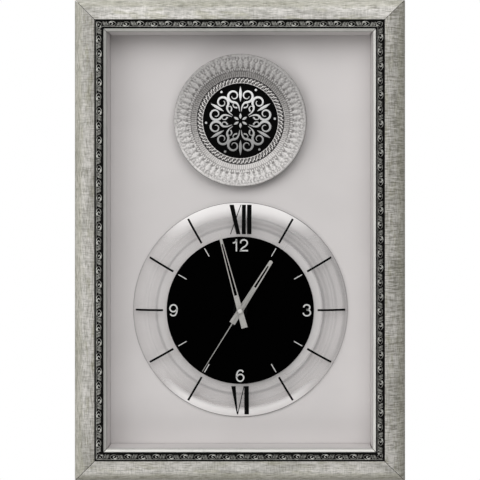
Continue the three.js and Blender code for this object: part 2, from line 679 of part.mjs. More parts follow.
function domedGlass() {
  const under = GLASS_RISE - GLASS_THICKNESS;
  const foot = GLASS_RADIUS - GLASS_THICKNESS - GLASS_EDGE;
  const outside = borderCurve(GLASS_RADIUS, GLASS_EDGE, GLASS_RISE, GLASS_OUTSIDE_STEPS);
  const inside = borderCurve(foot, 0, under, GLASS_INSIDE_STEPS).reverse();
  return turned([
    [BUSH_HOLE, under], ...inside, [GLASS_RADIUS, 0], ...outside, [BUSH_HOLE, GLASS_RISE], [BUSH_HOLE, under],
  ], GLASS_FACETS);
}

const glass = addPart(clock, "dial_glass", domedGlass(), finish(0xd8dcdb, 0.05));
glass.position.z = GLASS_BACK;
const dialDisc = ring(DIAL_RADIUS, BUSH_HOLE, DIAL_BACK, DIAL_BACK + DIAL_THICKNESS, GLASS_FACETS);
addPart(clock, "dial_disc", dialDisc, finish(0x0c0c0c, 0.6));

// Clamping pieces on the bush
const rubberWasher = ring(RUBBER_RADIUS, BUSH_HOLE, RUBBER_BACK, RUBBER_BACK + RUBBER_THICKNESS);
addPart(clock, "rubber_washer", rubberWasher, finish(0x202020, 0.9));
const nutWasher = ring(WASHER_RADIUS, BUSH_HOLE, WASHER_BACK, WASHER_BACK + WASHER_THICKNESS);
addPart(clock, "nut_washer", nutWasher, blackPlastic());
const hexagon = polygon([0, 1, 2, 3, 4, 5].map((i) => {
  const corner = polar(NUT_ACROSS_FLATS / Math.sqrt(3), (i * TAU) / 6);
  return [corner.x, corner.y];
}));
const NUT_FRONT = NUT_BACK + NUT_THICKNESS;
const nutBore = pin(BUSH_HOLE, NUT_BACK - OVERSHOOT, NUT_FRONT + OVERSHOOT, SHAFT_FACETS);
addPart(clock, "mounting_nut", cut(prism(hexagon, NUT_BACK, NUT_FRONT), nutBore), blackPlastic());

// Gears

// Outline of a gear with straight-sided teeth, a tooth centred on the phase angle.
function gearShape(teeth, toothModule, phase) {
  const root = toothModule * (teeth / 2 - DEDENDUM);
  const tip = tipRadius(teeth, toothModule);
  const tooth = [
    [root, -TOOTH_ROOT_SHARE], [tip, -TOOTH_TIP_SHARE], [tip, TOOTH_TIP_SHARE], [root, TOOTH_ROOT_SHARE],
  ];
  const points = [];
  for (let i = 0; i < teeth; i += 1) {
    for (const [radius, share] of tooth) {
      const corner = polar(radius, phase + ((i + share) * TAU) / teeth);
      points.push([corner.x, corner.y]);
    }
  }
  return polygon(points);
}

// Two gears that mesh: a tooth of the first points at the second, which meets it with a gap.
function meshedPair(first, second, at, other) {
  const across = other.clone().sub(at);
  const direction = Math.atan2(across.y, across.x);
  const toothModule = moduleOf(across.length(), first, second);
  return {
    [first]: gearShape(TEETH[first], toothModule, direction),
    [second]: gearShape(TEETH[second], toothModule, direction + TAU / 2 + TAU / 2 / TEETH[second]),
  };
}

const gears = {
  ...meshedPair("hourWheel", "motionPinion", CENTRE, MOTION),
  ...meshedPair("motionWheel", "minutePinion", MOTION, CENTRE),
  ...meshedPair("minuteWheel", "thirdPinion", CENTRE, THIRD),
  ...meshedPair("thirdWheel", "secondPinion", THIRD, CENTRE),
  ...meshedPair("secondWheel", "intermediatePinion", CENTRE, INTERMEDIATE),
  ...meshedPair("intermediateWheel", "rotorPinion", INTERMEDIATE, ROTOR),
};

// The setting pinion meshes with the motion wheel, whose teeth already point at the minute pinion.
function settingPinionShape() {
  const across = SETTING.clone().sub(MOTION);
  const direction = Math.atan2(across.y, across.x);
  const towardsCentre = Math.atan2(-MOTION.y, -MOTION.x);
  const wheelLead = (direction - towardsCentre) * (TEETH.motionWheel / TEETH.settingPinion);
  const toothModule = moduleOf(TRAIN_RADIUS, "motionWheel", "settingPinion");
  const phase = direction + TAU / 2 + TAU / 2 / TEETH.settingPinion + wheelLead;
  return gearShape(TEETH.settingPinion, toothModule, phase);
}

const slab = (shape, index, thickness) =>
  prism(shape, level(index) - thickness / 2, level(index) + thickness / 2);
const wheelAt = (shape, index) => slab(shape, index, WHEEL_THICKNESS);
const pinionAt = (shape, index) => slab(shape, index, PINION_THICKNESS);
const PIVOT_BACK = COVER_FRONT - PIVOT_DEPTH;
const PIVOT_FRONT = TRAIN_FRONT + PIVOT_DEPTH;

function addWheel(name, place, geometry, material) {
  const wheel = addPart(clock, name, geometry, material);
  wheel.position.set(place.x, place.y, 0);
}

// Hour wheel on its tube, minute wheel and pinion on the hollow arbor, second wheel on the thin spindle
const HOUR_TUBE_FRONT = HOUR_LEVEL + EYE_LENGTH / 2;
const hourWheelBack = level(0) - WHEEL_THICKNESS / 2;
const hourTube = pin(HOUR_TUBE_RADIUS, hourWheelBack, HOUR_TUBE_FRONT, SHAFT_FACETS);
const hourBore = pin(HOUR_BORE, hourWheelBack - OVERSHOOT, HOUR_TUBE_FRONT + OVERSHOOT, SHAFT_FACETS);
addWheel("hour_wheel", CENTRE, cut(join(wheelAt(gears.hourWheel, 0), hourTube), hourBore), whitePlastic());

const MINUTE_ARBOR_FRONT = MINUTE_LEVEL + EYE_LENGTH / 2;
const minuteWheelBack = level(2) - WHEEL_THICKNESS / 2;
const minuteArbor = pin(MINUTE_ARBOR_RADIUS, minuteWheelBack, MINUTE_ARBOR_FRONT, SHAFT_FACETS);
const minuteBlank = join(wheelAt(gears.minuteWheel, 2), pinionAt(gears.minutePinion, 1), minuteArbor);
const minuteBore = pin(MINUTE_BORE, minuteWheelBack - OVERSHOOT, MINUTE_ARBOR_FRONT + OVERSHOOT);
addWheel("minute_wheel", CENTRE, cut(minuteBlank, minuteBore), whitePlastic());

const SPINDLE_FRONT = SECOND_LEVEL + HAND_SHEET + SECOND_CAP_HEIGHT / 2;
const spindle = pin(SECOND_SPINDLE_RADIUS, PIVOT_BACK, SPINDLE_FRONT);
const secondBlank = join(wheelAt(gears.secondWheel, 4), pinionAt(gears.secondPinion, 3), spindle);
addWheel("second_wheel", CENTRE, secondBlank, whitePlastic());

// Wheels and pinions on arbors that run from the cover to the case floor
const arbor = pin(ARBOR_RADIUS, PIVOT_BACK, PIVOT_FRONT);
const motionBlank = join(pinionAt(gears.motionPinion, 0), wheelAt(gears.motionWheel, 1), arbor);
addWheel("motion_wheel", MOTION, motionBlank, whitePlastic());
const thirdBlank = join(pinionAt(gears.thirdPinion, 2), wheelAt(gears.thirdWheel, 3), arbor);
addWheel("third_wheel", THIRD, thirdBlank, whitePlastic());
const interBlank = join(pinionAt(gears.intermediatePinion, 4), wheelAt(gears.intermediateWheel, 5), arbor);
addWheel("intermediate_wheel", INTERMEDIATE, interBlank, whitePlastic());
const magnetBack = level(MOTOR_LEVEL) - MAGNET_THICKNESS / 2;
const magnet = pin(MAGNET_RADIUS, magnetBack, magnetBack + MAGNET_THICKNESS, SHAFT_FACETS);
addWheel("rotor", ROTOR, join(pinionAt(gears.rotorPinion, 5), magnet, arbor), finish(0x4a4a4c, 0.4, 0.6));

// Setting knob: a ridged disc flush with the cover, on an arbor with the setting pinion
function ridgedDisc() {
  const points = [];
  for (let i = 0; i < 2 * KNOB_RIDGES; i += 1) {
    const corner = polar(KNOB_RADIUS - (i % 2) * KNOB_RIDGE_DEPTH, (i * TAU) / (2 * KNOB_RIDGES));
    points.push([corner.x, corner.y]);
  }
  return polygon(points);
}

const KNOB_BACK = COVER_BACK + SEAT_GAP;
const knobDisc = prism(ridgedDisc(), KNOB_BACK, KNOB_BACK + KNOB_THICKNESS);
const knobArbor = pin(ARBOR_RADIUS, KNOB_BACK, PIVOT_FRONT);
const knobBlank = join(knobDisc, pinionAt(settingPinionShape(), 1), knobArbor);
addWheel("setting_knob", SETTING, knobBlank, whitePlastic());

// Stepping motor: stator, core, bobbin and winding
function statorShape() {
  const left = ROTOR.x - STATOR_SPAN / 2;
  const right = ROTOR.x + STATOR_SPAN / 2;
  const bottom = ROTOR.y - STATOR_BAR_WIDTH / 2;
  const top = COIL_Y + CORE_WIDTH / 2;
  const inLeft = left + STATOR_BAR_WIDTH;
  const inRight = right - STATOR_BAR_WIDTH;
  return polygon([
    [left, bottom], [right, bottom], [right, top], [inRight, top],
    [inRight, bottom + STATOR_BAR_WIDTH], [inLeft, bottom + STATOR_BAR_WIDTH], [inLeft, top], [left, top],
  ]);
}

const statorBack = level(MOTOR_LEVEL) - STATOR_THICKNESS / 2;
const statorFront = statorBack + STATOR_THICKNESS;
const pole = pin(STATOR_POLE_RADIUS, statorBack, statorFront, SHAFT_FACETS).translate(ROTOR.x, ROTOR.y, 0);
const statorBlank = join(prism(statorShape(), statorBack, statorFront), pole);
const rotorHole = pin(MAGNET_RADIUS + ROOM_GAP, statorBack - OVERSHOOT, statorFront + OVERSHOOT, SHAFT_FACETS)
  .translate(ROTOR.x, ROTOR.y, 0);
addPart(clock, "stator", cut(statorBlank, rotorHole), steel());

const coreBack = statorFront + SEAT_GAP;
const coreMiddle = coreBack + CORE_THICKNESS / 2;
const coilGroup = new THREE.Group();
coilGroup.position.set(ROTOR.x, COIL_Y, coreMiddle);
clock.add(coilGroup);
addPart(coilGroup, "coil_core", block(
  [-STATOR_SPAN / 2, -CORE_WIDTH / 2, -CORE_THICKNESS / 2],
  [STATOR_SPAN / 2, CORE_WIDTH / 2, CORE_THICKNESS / 2],
), steel());

const alongCoil = (geometry) => geometry.rotateY(TAU / 4);
const flangeInner = BOBBIN_HALF - FLANGE_THICKNESS;
const leftHalf = [
  [0, -BOBBIN_HALF], [FLANGE_RADIUS, -BOBBIN_HALF],
  [FLANGE_RADIUS, -flangeInner], [BOBBIN_RADIUS, -flangeInner],
];
const rightHalf = leftHalf.map(([radius, along]) => [radius, -along]).reverse();
const bobbinBlank = alongCoil(turned([...leftHalf, ...rightHalf], SHAFT_FACETS));
const coreHole = block(
  [-BOBBIN_HALF - OVERSHOOT, -CORE_WIDTH / 2 - SEAT_GAP, -CORE_THICKNESS / 2 - SEAT_GAP],
  [BOBBIN_HALF + OVERSHOOT, CORE_WIDTH / 2 + SEAT_GAP, CORE_THICKNESS / 2 + SEAT_GAP],
);
addPart(coilGroup, "coil_bobbin", cut(bobbinBlank, coreHole), whitePlastic());
const winding = ring(COIL_RADIUS, BOBBIN_RADIUS + SEAT_GAP, -COIL_LENGTH / 2, COIL_LENGTH / 2);
addPart(coilGroup, "coil_winding", alongCoil(winding), finish(0xa55a2c, 0.4, 0.8));

// Battery lying across the bay, with a leaf contact at each end
const batteryGroup = new THREE.Group();
batteryGroup.position.set(0, BATTERY_Y, BATTERY_Z);
clock.add(batteryGroup);
const canFront = BATTERY_LENGTH / 2 - BATTERY_NUB_LENGTH;
const canRadius = BATTERY_DIAMETER / 2;
const cell = turned([
  [0, -BATTERY_LENGTH / 2], [canRadius, -BATTERY_LENGTH / 2], [canRadius, canFront],
  [BATTERY_NUB_RADIUS, canFront], [BATTERY_NUB_RADIUS, BATTERY_LENGTH / 2], [0, BATTERY_LENGTH / 2],
], SHAFT_FACETS);
addPart(batteryGroup, "battery", alongCoil(cell), finish(0x6d7278, 0.35, 0.7));

// A strip that lies on the bay's end wall, runs up past the divider and turns in to the circuit.
function leafContact() {
  const outside = CONTACT_INNER + CONTACT_SHEET;
  const bottom = BATTERY_Y - CONTACT_WIDTH / 2;
  const top = DIVIDER_TOP + CONTACT_RISE;
  const leaf = polygon([
    [CONTACT_INNER, bottom], [outside, bottom], [outside, top], [outside - CONTACT_TAB, top],
    [outside - CONTACT_TAB, top - CONTACT_SHEET], [CONTACT_INNER, top - CONTACT_SHEET],
  ]);
  return prism(leaf, BATTERY_Z - CONTACT_WIDTH / 2, BATTERY_Z + CONTACT_WIDTH / 2);
}

addPart(clock, "contact_positive", leafContact(), brass());
const facingLeaf = leafContact().translate(0, 0, -BATTERY_Z);
const negative = addPart(clock, "contact_negative", facingLeaf, brass());
negative.position.z = BATTERY_Z;
negative.rotation.y = TAU / 2;

// Circuit board with its chip, and the quartz crystal lying on it
const circuitLeft = -CASE_INNER_SIDE + CIRCUIT_INSET;
const circuitTop = CASE_INNER_TOP - CIRCUIT_INSET;
const circuitBack = statorBack;
const circuitFront = circuitBack + CIRCUIT_THICKNESS;
const circuitSheet = block(
  [circuitLeft, circuitTop - CIRCUIT_HEIGHT, circuitBack],
  [circuitLeft + CIRCUIT_WIDTH, circuitTop, circuitFront],
);
const chipFoot = circuitFront - CIRCUIT_THICKNESS / 2;
const chipTop = circuitFront + CHIP_HEIGHT;
const chip = turned([
  [0, chipFoot], [CHIP_RADIUS, chipFoot], [CHIP_RADIUS, circuitFront],
  [CHIP_TOP_RADIUS, chipTop], [0, chipTop],
], SMALL_FACETS).translate(circuitLeft + CIRCUIT_WIDTH / 4, circuitTop - CHIP_DROP, 0);
addPart(clock, "circuit_board", join(circuitSheet, chip), finish(0x2f6b3c, 0.5));
const crystalCan = pin(CRYSTAL_RADIUS, -CRYSTAL_LENGTH / 2, CRYSTAL_LENGTH / 2);
const crystal = addPart(clock, "quartz_crystal", alongCoil(crystalCan), steel());
crystal.position.set(circuitLeft + CIRCUIT_WIDTH / 2, circuitTop - 2 * CRYSTAL_RADIUS,
  circuitFront + SEAT_GAP + CRYSTAL_RADIUS);

// Movement case: a moulded tray with the battery bay, the wheel room and the bush for the hands
const pivotHoles = (places, back, front) =>
  places.map((place) => pin(PIVOT_HOLE, back, front).translate(place.x, place.y, 0));

function movementCase() {
  const side = CASE_INNER_SIDE;
  const shell = roundedRectangle(-side - CASE_WALL, CASE_INNER_BOTTOM - CASE_WALL, side + CASE_WALL,
    CASE_INNER_TOP + CASE_WALL, CASE_CORNER);
  const room = roundedRectangle(-side, CASE_INNER_BOTTOM, side, CASE_INNER_TOP, CASE_INNER_CORNER);
  const tray = cut(prism(shell, CASE_BACK, CASE_FRONT), prism(room, CASE_BACK - OVERSHOOT, TRAIN_FRONT));
  const ribEnd = CONTACT_INNER - SEAT_GAP;
  const ribFront = TRAIN_FRONT + CASE_FLOOR / 2;
  const rib = block([-ribEnd, DIVIDER_BOTTOM, CASE_BACK], [ribEnd, DIVIDER_TOP, ribFront]);
  const bush = pin(BUSH_RADIUS, CASE_FRONT - CASE_FLOOR / 2, BUSH_FRONT, SHAFT_FACETS);
  const bore = pin(BUSH_BORE, TRAIN_FRONT - OVERSHOOT, BUSH_FRONT + OVERSHOOT, SHAFT_FACETS);
  const arbors = [MOTION, THIRD, INTERMEDIATE, ROTOR, SETTING];
  const holes = pivotHoles(arbors, TRAIN_FRONT - OVERSHOOT, PIVOT_FRONT + RUN_GAP);
  return cut(join(tray, rib, bush), bore, ...holes);
}

addPart(clock, "movement_case", movementCase(), blackPlastic());

// Cover over the wheel room, with the pivots, the knob's well and the posts for the motor and circuit
function movementCover() {
  const side = CASE_INNER_SIDE + CASE_WALL;
  const outline = roundedRectangle(-side, DIVIDER_BOTTOM, side, CASE_INNER_TOP + CASE_WALL, CASE_CORNER);
  const sheet = prism(outline, COVER_BACK, COVER_FRONT);
  const postFront = statorBack - SEAT_GAP;
  const postPlaces = [
    [ROTOR.x - STATOR_SPAN / 2 + STATOR_BAR_WIDTH / 2, ROTOR.y],
    [ROTOR.x + STATOR_SPAN / 2 - STATOR_BAR_WIDTH / 2, ROTOR.y],
    [circuitLeft + CIRCUIT_WIDTH / 4, circuitTop - CIRCUIT_HEIGHT / 2],
    [circuitLeft + (3 * CIRCUIT_WIDTH) / 4, circuitTop - CIRCUIT_HEIGHT / 2],
  ];
  const posts = postPlaces.map(([x, y]) =>
    pin(POST_RADIUS, COVER_FRONT - COVER_THICKNESS / 2, postFront).translate(x, y, 0));
  const well = pin(KNOB_RADIUS + SEAT_GAP, COVER_BACK - OVERSHOOT, COVER_FRONT + OVERSHOOT, SHAFT_FACETS)
    .translate(SETTING.x, SETTING.y, 0);
  const arbors = [CENTRE, MOTION, THIRD, INTERMEDIATE, ROTOR];
  const holes = pivotHoles(arbors, PIVOT_BACK - RUN_GAP, COVER_FRONT + OVERSHOOT);
  return cut(join(sheet, ...posts), well, ...holes);
}

addPart(clock, "movement_cover", movementCover(), blackPlastic());

// Hands

// A tapered bar with a slot, pointed at the tip, with an eye that fits its shaft.
function slottedHand(hand, shaftRadius) {
  const span = hand.tip + hand.tail;
  const halfWidth = (reach) => {
    const share = (reach + hand.tail) / span;
    return (hand.tailWidth + (hand.tipWidth - hand.tailWidth) * share) / 2;
  };
  const shoulder = hand.tip - hand.point;
  const blade = polygon([
    [-hand.tailWidth / 2, -hand.tail], [hand.tailWidth / 2, -hand.tail], [halfWidth(shoulder), shoulder],
    [0, hand.tip], [-halfWidth(shoulder), shoulder],
  ]);
  const slotEnd = hand.tip - hand.tipSolid;
  blade.holes.push(polygon([
    [-hand.slotHubWidth / 2, hand.hubSolid], [hand.slotHubWidth / 2, hand.hubSolid],
    [hand.slotTipWidth / 2, slotEnd], [-hand.slotTipWidth / 2, slotEnd],
  ]));
  const hole = shaftRadius + RUN_GAP;
  const eyeBack = -EYE_LENGTH / 2 + SEAT_GAP;
  const eye = pin(hole + EYE_WALL, eyeBack, HAND_SHEET, SHAFT_FACETS);
  const bore = pin(hole, eyeBack - OVERSHOOT, HAND_SHEET + OVERSHOOT, SHAFT_FACETS);
  return cut(join(prism(blade, 0, HAND_SHEET), eye), bore);
}

function secondHand() {
  const needle = SECOND_NEEDLE_WIDTH / 2;
  const tail = SECOND_TAIL_WIDTH / 2;
  const blade = polygon([
    [-tail, -SECOND_TAIL], [tail, -SECOND_TAIL], [tail, 0], [needle, SECOND_CAP_RADIUS],
    [needle / 2, SECOND_TIP], [-needle / 2, SECOND_TIP], [-needle, SECOND_CAP_RADIUS], [-tail, 0],
  ]);
  const top = HAND_SHEET + SECOND_CAP_HEIGHT;
  const cap = turned([
    [0, -EYE_LENGTH / 2], [SECOND_COLLAR_RADIUS, -EYE_LENGTH / 2], [SECOND_COLLAR_RADIUS, 0],
    [SECOND_CAP_RADIUS, 0], [SECOND_CAP_RADIUS, top - SECOND_CAP_CHAMFER],
    [SECOND_CAP_RADIUS - SECOND_CAP_CHAMFER, top], [0, top],
  ], SHAFT_FACETS);
  const socketEnd = SPINDLE_FRONT - SECOND_LEVEL + RUN_GAP;
  const socket = pin(SECOND_SPINDLE_RADIUS + RUN_GAP, -EYE_LENGTH, socketEnd);
  return cut(join(prism(blade, 0, HAND_SHEET), cap), socket);
}

const HANDS = [
  ["hour_hand", slottedHand(HOUR_HAND, HOUR_TUBE_RADIUS), HOUR_LEVEL, HOUR_ANGLE],
  ["minute_hand", slottedHand(MINUTE_HAND, MINUTE_ARBOR_RADIUS), MINUTE_LEVEL, MINUTE_ANGLE],
  ["second_hand", secondHand(), SECOND_LEVEL, SECOND_ANGLE],
];
for (const [name, geometry, depth, angle] of HANDS) {
  const hand = addPart(clock, name, geometry, handMetal());
  hand.position.z = depth;
  hand.rotation.z = -angle;
}

export default wallClock;
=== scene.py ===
"""Shadow-box wall clock: moulding, ornament, plate, glass, dial and hands on the packed solids."""
import math

import bmesh
import bpy
import numpy as np
from bpy.props import FloatProperty, FloatVectorProperty, IntProperty, PointerProperty
from bpy.types import Operator, Panel, PropertyGroup
from mathutils import Matrix, Vector


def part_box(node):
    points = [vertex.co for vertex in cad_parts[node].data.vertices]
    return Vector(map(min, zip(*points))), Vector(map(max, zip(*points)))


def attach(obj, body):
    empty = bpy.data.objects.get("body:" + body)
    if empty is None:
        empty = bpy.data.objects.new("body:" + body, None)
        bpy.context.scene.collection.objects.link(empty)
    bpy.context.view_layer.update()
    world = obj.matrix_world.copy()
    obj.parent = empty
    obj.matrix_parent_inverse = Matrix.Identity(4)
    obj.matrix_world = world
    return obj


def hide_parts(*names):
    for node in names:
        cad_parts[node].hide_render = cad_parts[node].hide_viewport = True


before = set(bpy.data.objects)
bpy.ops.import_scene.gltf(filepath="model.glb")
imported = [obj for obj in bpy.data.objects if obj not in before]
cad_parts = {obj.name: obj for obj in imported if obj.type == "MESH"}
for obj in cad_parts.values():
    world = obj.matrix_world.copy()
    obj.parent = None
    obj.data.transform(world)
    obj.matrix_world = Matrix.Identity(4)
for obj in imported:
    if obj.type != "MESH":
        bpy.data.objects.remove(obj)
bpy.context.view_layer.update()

bl_info = {
    "name": "Shadow-box wall clock",
    "version": (1, 0, 0),
    "blender": (4, 5, 0),
    "location": "3D View > Sidebar > Wall clock",
    "description": "Builds the visible pieces of a shadow-box wall clock around its packed solids",
    "category": "Object",
}

MM = 0.001
TAU = 2 * math.pi
DIAGONAL = math.sqrt(2)
SIDES = ("bottom", "right", "top", "left")
BOX = "shadow_box"


# Measures taken from the packed solids

def low(node, axis):
    """Lowest coordinate of a node along an axis, 0 to 2."""
    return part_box(node)[0][axis]


def high(node, axis):
    """Highest coordinate of a node along an axis, 0 to 2."""
    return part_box(node)[1][axis]


def front_of(node):
    """How far a node's front stands out from the wall."""
    return -low(node, 1)


def back_of(node):
    """How far a node's back stands out from the wall."""
    return -high(node, 1)


def radius_of(node):
    """Half a node's width."""
    return (high(node, 0) - low(node, 0)) / 2


def middle_of(node):
    """Middle of a node across the wall, as x and z."""
    return [(low(node, axis) + high(node, axis)) / 2 for axis in (0, 2)]


HALF_WIDTH = (high("frame_rail_right", 0) - low("frame_rail_left", 0)) / 2
HALF_HEIGHT = (high("frame_rail_top", 2) - low("frame_rail_bottom", 2)) / 2
FRAME_MIDDLE = (high("frame_rail_top", 2) + low("frame_rail_bottom", 2)) / 2
RAIL_WIDTH = high("frame_rail_left", 0) + HALF_WIDTH
CROWN = front_of("frame_rail_left")
STRIP_OUTER = low("ornament_strip_left", 0) + HALF_WIDTH
STRIP_INNER = high("ornament_strip_left", 0) + HALF_WIDTH
STRIP_BACK = back_of("ornament_strip_left")
STRIP_FRONT = front_of("ornament_strip_left")
LINER_OUTER = low("box_liner_left", 0) + HALF_WIDTH
LINER_FRONT = front_of("box_liner_left")
BOARD_FRONT = front_of("back_board")
CLOCK = middle_of("dial_disc")
DIAL_FRONT = front_of("dial_disc")
DIAL_BACK = back_of("dial_disc")
DIAL_RADIUS = radius_of("dial_disc")
GLASS_FRONT = front_of("dial_glass")
GLASS_BACK = back_of("dial_glass")
GLASS_RADIUS = radius_of("dial_glass")
PLATE = middle_of("embossed_plate")
PLATE_BACK = back_of("embossed_plate")
PLATE_RADIUS = radius_of("embossed_plate")
DISC_FRONT = front_of("plate_centre_disc")
DISC_BACK = back_of("plate_centre_disc")
DISC_RADIUS = radius_of("plate_centre_disc")

# Radius of the hole for the bush in glass and dial
BUSH_HOLE = 5 * MM
# Distances from a rail's outer edge between which its outer finish gives way to the inner one
OUTER_BAND = (6 * MM, 11 * MM)


# Properties

def linear(code):
    """Linear RGBA of a hex colour."""
    parts = [int(code[i:i + 2], 16) / 255 for i in (1, 3, 5)]
    return (*[p / 12.92 if p <= 0.04045 else ((p + 0.055) / 1.055) ** 2.4 for p in parts], 1.0)


def colour(name, code, words):
    return FloatVectorProperty(
        name=name, description=words, default=linear(code), size=4, min=0, max=1, subtype="COLOR"
    )


def length(name, mm, words):
    return FloatProperty(
        name=name, description=words, default=mm * MM, precision=5, unit="LENGTH"
    )


def spot(name, metres, words):
    return FloatVectorProperty(
        name=name, description=words, default=metres, size=3, subtype="TRANSLATION", unit="LENGTH"
    )


def share(name, value, words):
    return FloatProperty(
        name=name, description=words, default=value, min=0, max=1, subtype="FACTOR"
    )


def power(name, watts, words):
    return FloatProperty(name=name, description=words, default=watts, min=0, unit="POWER")


def turn(name, degrees, words):
    return FloatProperty(
        name=name, description=words, default=math.radians(degrees), unit="ROTATION"
    )


def count(name, value, words):
    return IntProperty(name=name, description=words, default=value, min=1)


class MouldingSettings(PropertyGroup):
    """Silver moulding of the frame."""

    seat_gap: length("Seat gap", 0.3, "Gap between a strip and its channel, and at each mitre")
    face_fall: length("Face fall", 13, "Drop of the rounded face to the outer side")
    lip_nose: length("Lip nose", 3.4, "Thickness of the lip at its inner edge")
    lip_round: length("Lip round", 2.6, "Height of the lip's rounding")
    bead: length("Bead", 0.5, "Radius of the bead along the lip")
    mitre_gap: length("Mitre gap", 0.45, "Open joint between two rails at the front")
    light: colour("Light foil", "#E0DDD8", "Foil colour on the brushed inner part")
    shade: colour("Dull foil", "#B1AFA9", "Foil colour of the streaks")
    tint: colour("Outer tint", "#B9B7A6", "Foil colour along the outer edge")
    # Painted shade: colour laid on the rails and the lips where they face away from the light
    painted_shade: colour("Tarnish", "#443F2C", "Darkening of the foil with age")
    lip: colour("Lip", "#F5F4EF", "Colour of the inner lip")
    wood: colour("Raw wood", "#C8AC82", "Bare wood on the back")
    # Painted shade: dark colour on the cut ends, so the open mitre reads as a shadowed gap
    mitre: colour("Mitre stain", "#1E1B17", "Stain on the cut ends of the rails")


class OrnamentSettings(PropertyGroup):
    """Black strip with scrolls in relief."""

    border: length("Border", 1.2, "Width of the plain border on each side")
    floor_drop: length("Relief depth", 0.9, "Depth of the ground below the borders")
    period: length("Period", 28.6, "Length of a pair of curls")
    ground: colour("Ground", "#060605", "Colour of ground and borders")
    leaf: colour("Leaf", "#666560", "Colour of the low leaves")
    scroll: colour("Scroll", "#D4D4CE", "Colour of the high scrolls")


class BoxSettings(PropertyGroup):
    """Board, liners and the fittings behind them."""

    paint: colour("Paint", "#CFCBCA", "Colour of board and liners")
    backing: colour("Backing", "#8A6A49", "Bare fibreboard behind the board")
    steel: colour("Steel", "#B4B3AE", "Points, hanger and nails")
    edge: length("Softened edge", 0.25, "Rounding of the cut edges")


class PlateSettings(PropertyGroup):
    """Round embossed plate."""

    petals: count("Petals", 62, "Lobes round the rim")
    flutes: count("Flutes", 144, "Flutes round the wall")
    twists: count("Rope twists", 68, "Hooked leaves round the rope ring")
    well: length("Well", 1.4, "Height of the flat well above the plate's back")
    wall_rise: length("Wall rise", 4.6, "Rise from the well to the rim")
    rim_rise: length("Rim rise", 3.2, "Rise across the rim")
    sheet: length("Sheet", 0.8, "Thickness of the pressed sheet")
    petal_height: length("Petal height", 0.55, "Relief of the lobes")
    rope_height: length("Rope height", 1.3, "Relief of the rope ring")
    silver: colour("Silver", "#DAD7D5", "Raised metal")
    patina: colour("Patina", "#8D8A88", "Darkened metal in the hollows")
    black: colour("Black", "#030303", "Enamel of the centre and the rope's ground")
    # Painted light on the tracery: bright at the top of the disc and shaded at the bottom
    bright: colour("Bright stroke", "#F2F2F2", "Tracery at the top of the disc")
    dim: colour("Dim stroke", "#8B8B8A", "Tracery at the bottom of the disc")
    foam: colour("Foam", "#ECEAE2", "Foam pad behind the plate")


class GlassSettings(PropertyGroup):
    """Domed clear glass with its printed hour marks."""

    flat_margin: length("Flat margin", 8.6, "Flat glass outside the dial")
    edge: length("Edge", 1.2, "Height of the outer edge")
    thickness: length("Thickness", 3, "Thickness of the glass")
    lean_in: share("Lean in", 0.34, "How far the border's curve leans inward")
    lean_up: share("Lean up", 0.82, "How far the border's curve leans up")
    mark_inner: length("Mark start", 77.9, "Radius where an hour mark starts")
    mark_outer: length("Mark end", 106.2, "Radius where an hour mark ends")
    mark_width: length("Mark width", 2.1, "Width of an hour mark")
    print_height: length("Print height", 0.06, "Height of the print on the glass")
    clear: colour("Glass", "#F6F3F2", "Tint of the glass")
    # Colour of the painted shade lines at the folds and the edge of the glass
    line: colour("Glass line", "#6A6A6B", "Dark lines at the folds and the edge of the glass")
    print: colour("Print", "#040404", "Printed hour marks")


class DialSettings(PropertyGroup):
    """Black dial with its figures."""

    figure_width: length("Figure stroke", 1.4, "Stroke width of the figures")
    tick_inner: length("Tick start", 62.6, "Radius where a light tick starts")
    tick_outer: length("Tick end", 72, "Radius where a light tick ends")
    tick_width: length("Tick width", 0.85, "Width of a light tick")
    black: colour("Dial", "#020202", "Dial paint")
    figure: colour("Figures", "#C6C6C5", "Figures and ticks")
    nut: colour("Nut", "#060606", "Nut and washer")


class HandSettings(PropertyGroup):
    """Slotted silver hands."""

    sheet: length("Sheet", 0.5, "Thickness of the hands")
    edge: length("Rounded edge", 0.1, "Rounding of the stamped edges")
    hour_angle: turn("Hour angle", 32.3, "Hour hand at rest, clockwise from twelve")
    minute_angle: turn("Minute angle", 345, "Minute hand at rest")
    second_angle: turn("Second angle", 212, "Second hand at rest")
    metal: colour("Metal", "#C2C0BC", "Brushed metal of the hands")
    needle: colour("Needle", "#AFAEAA", "Metal of the second hand")
    cap: colour("Cap", "#E8E6E2", "Polished cap in the middle")


class MovementSettings(PropertyGroup):
    """Quartz movement behind the board."""

    case: colour("Case", "#1A1A1B", "Moulded case and cover")
    gear: colour("Gears", "#E3E0D6", "Moulded wheels")
    bobbin: colour("Bobbin", "#D8D2C2", "Moulded coil bobbin")
    brass: colour("Brass", "#C2A25C", "Contacts")
    copper: colour("Copper", "#A8562B", "Coil wire")
    magnet: colour("Magnet", "#6C6A68", "Rotor's magnet")
    sleeve: colour("Sleeve", "#8E9296", "Battery sleeve")
    band: colour("Sleeve band", "#2A2B2D", "Band at the battery's positive end")
    can: colour("Battery can", "#B9B9B5", "Bare steel at the battery's ends")
    scuff: colour("Scuffs", "#8C8C88", "Scuffs on the battery sleeve")
    circuit: colour("Circuit", "#1F5A3A", "Circuit board")
    rubber: colour("Rubber", "#202020", "Rubber washer")
    edge: length("Softened edge", 0.3, "Rounding of moulded edges")


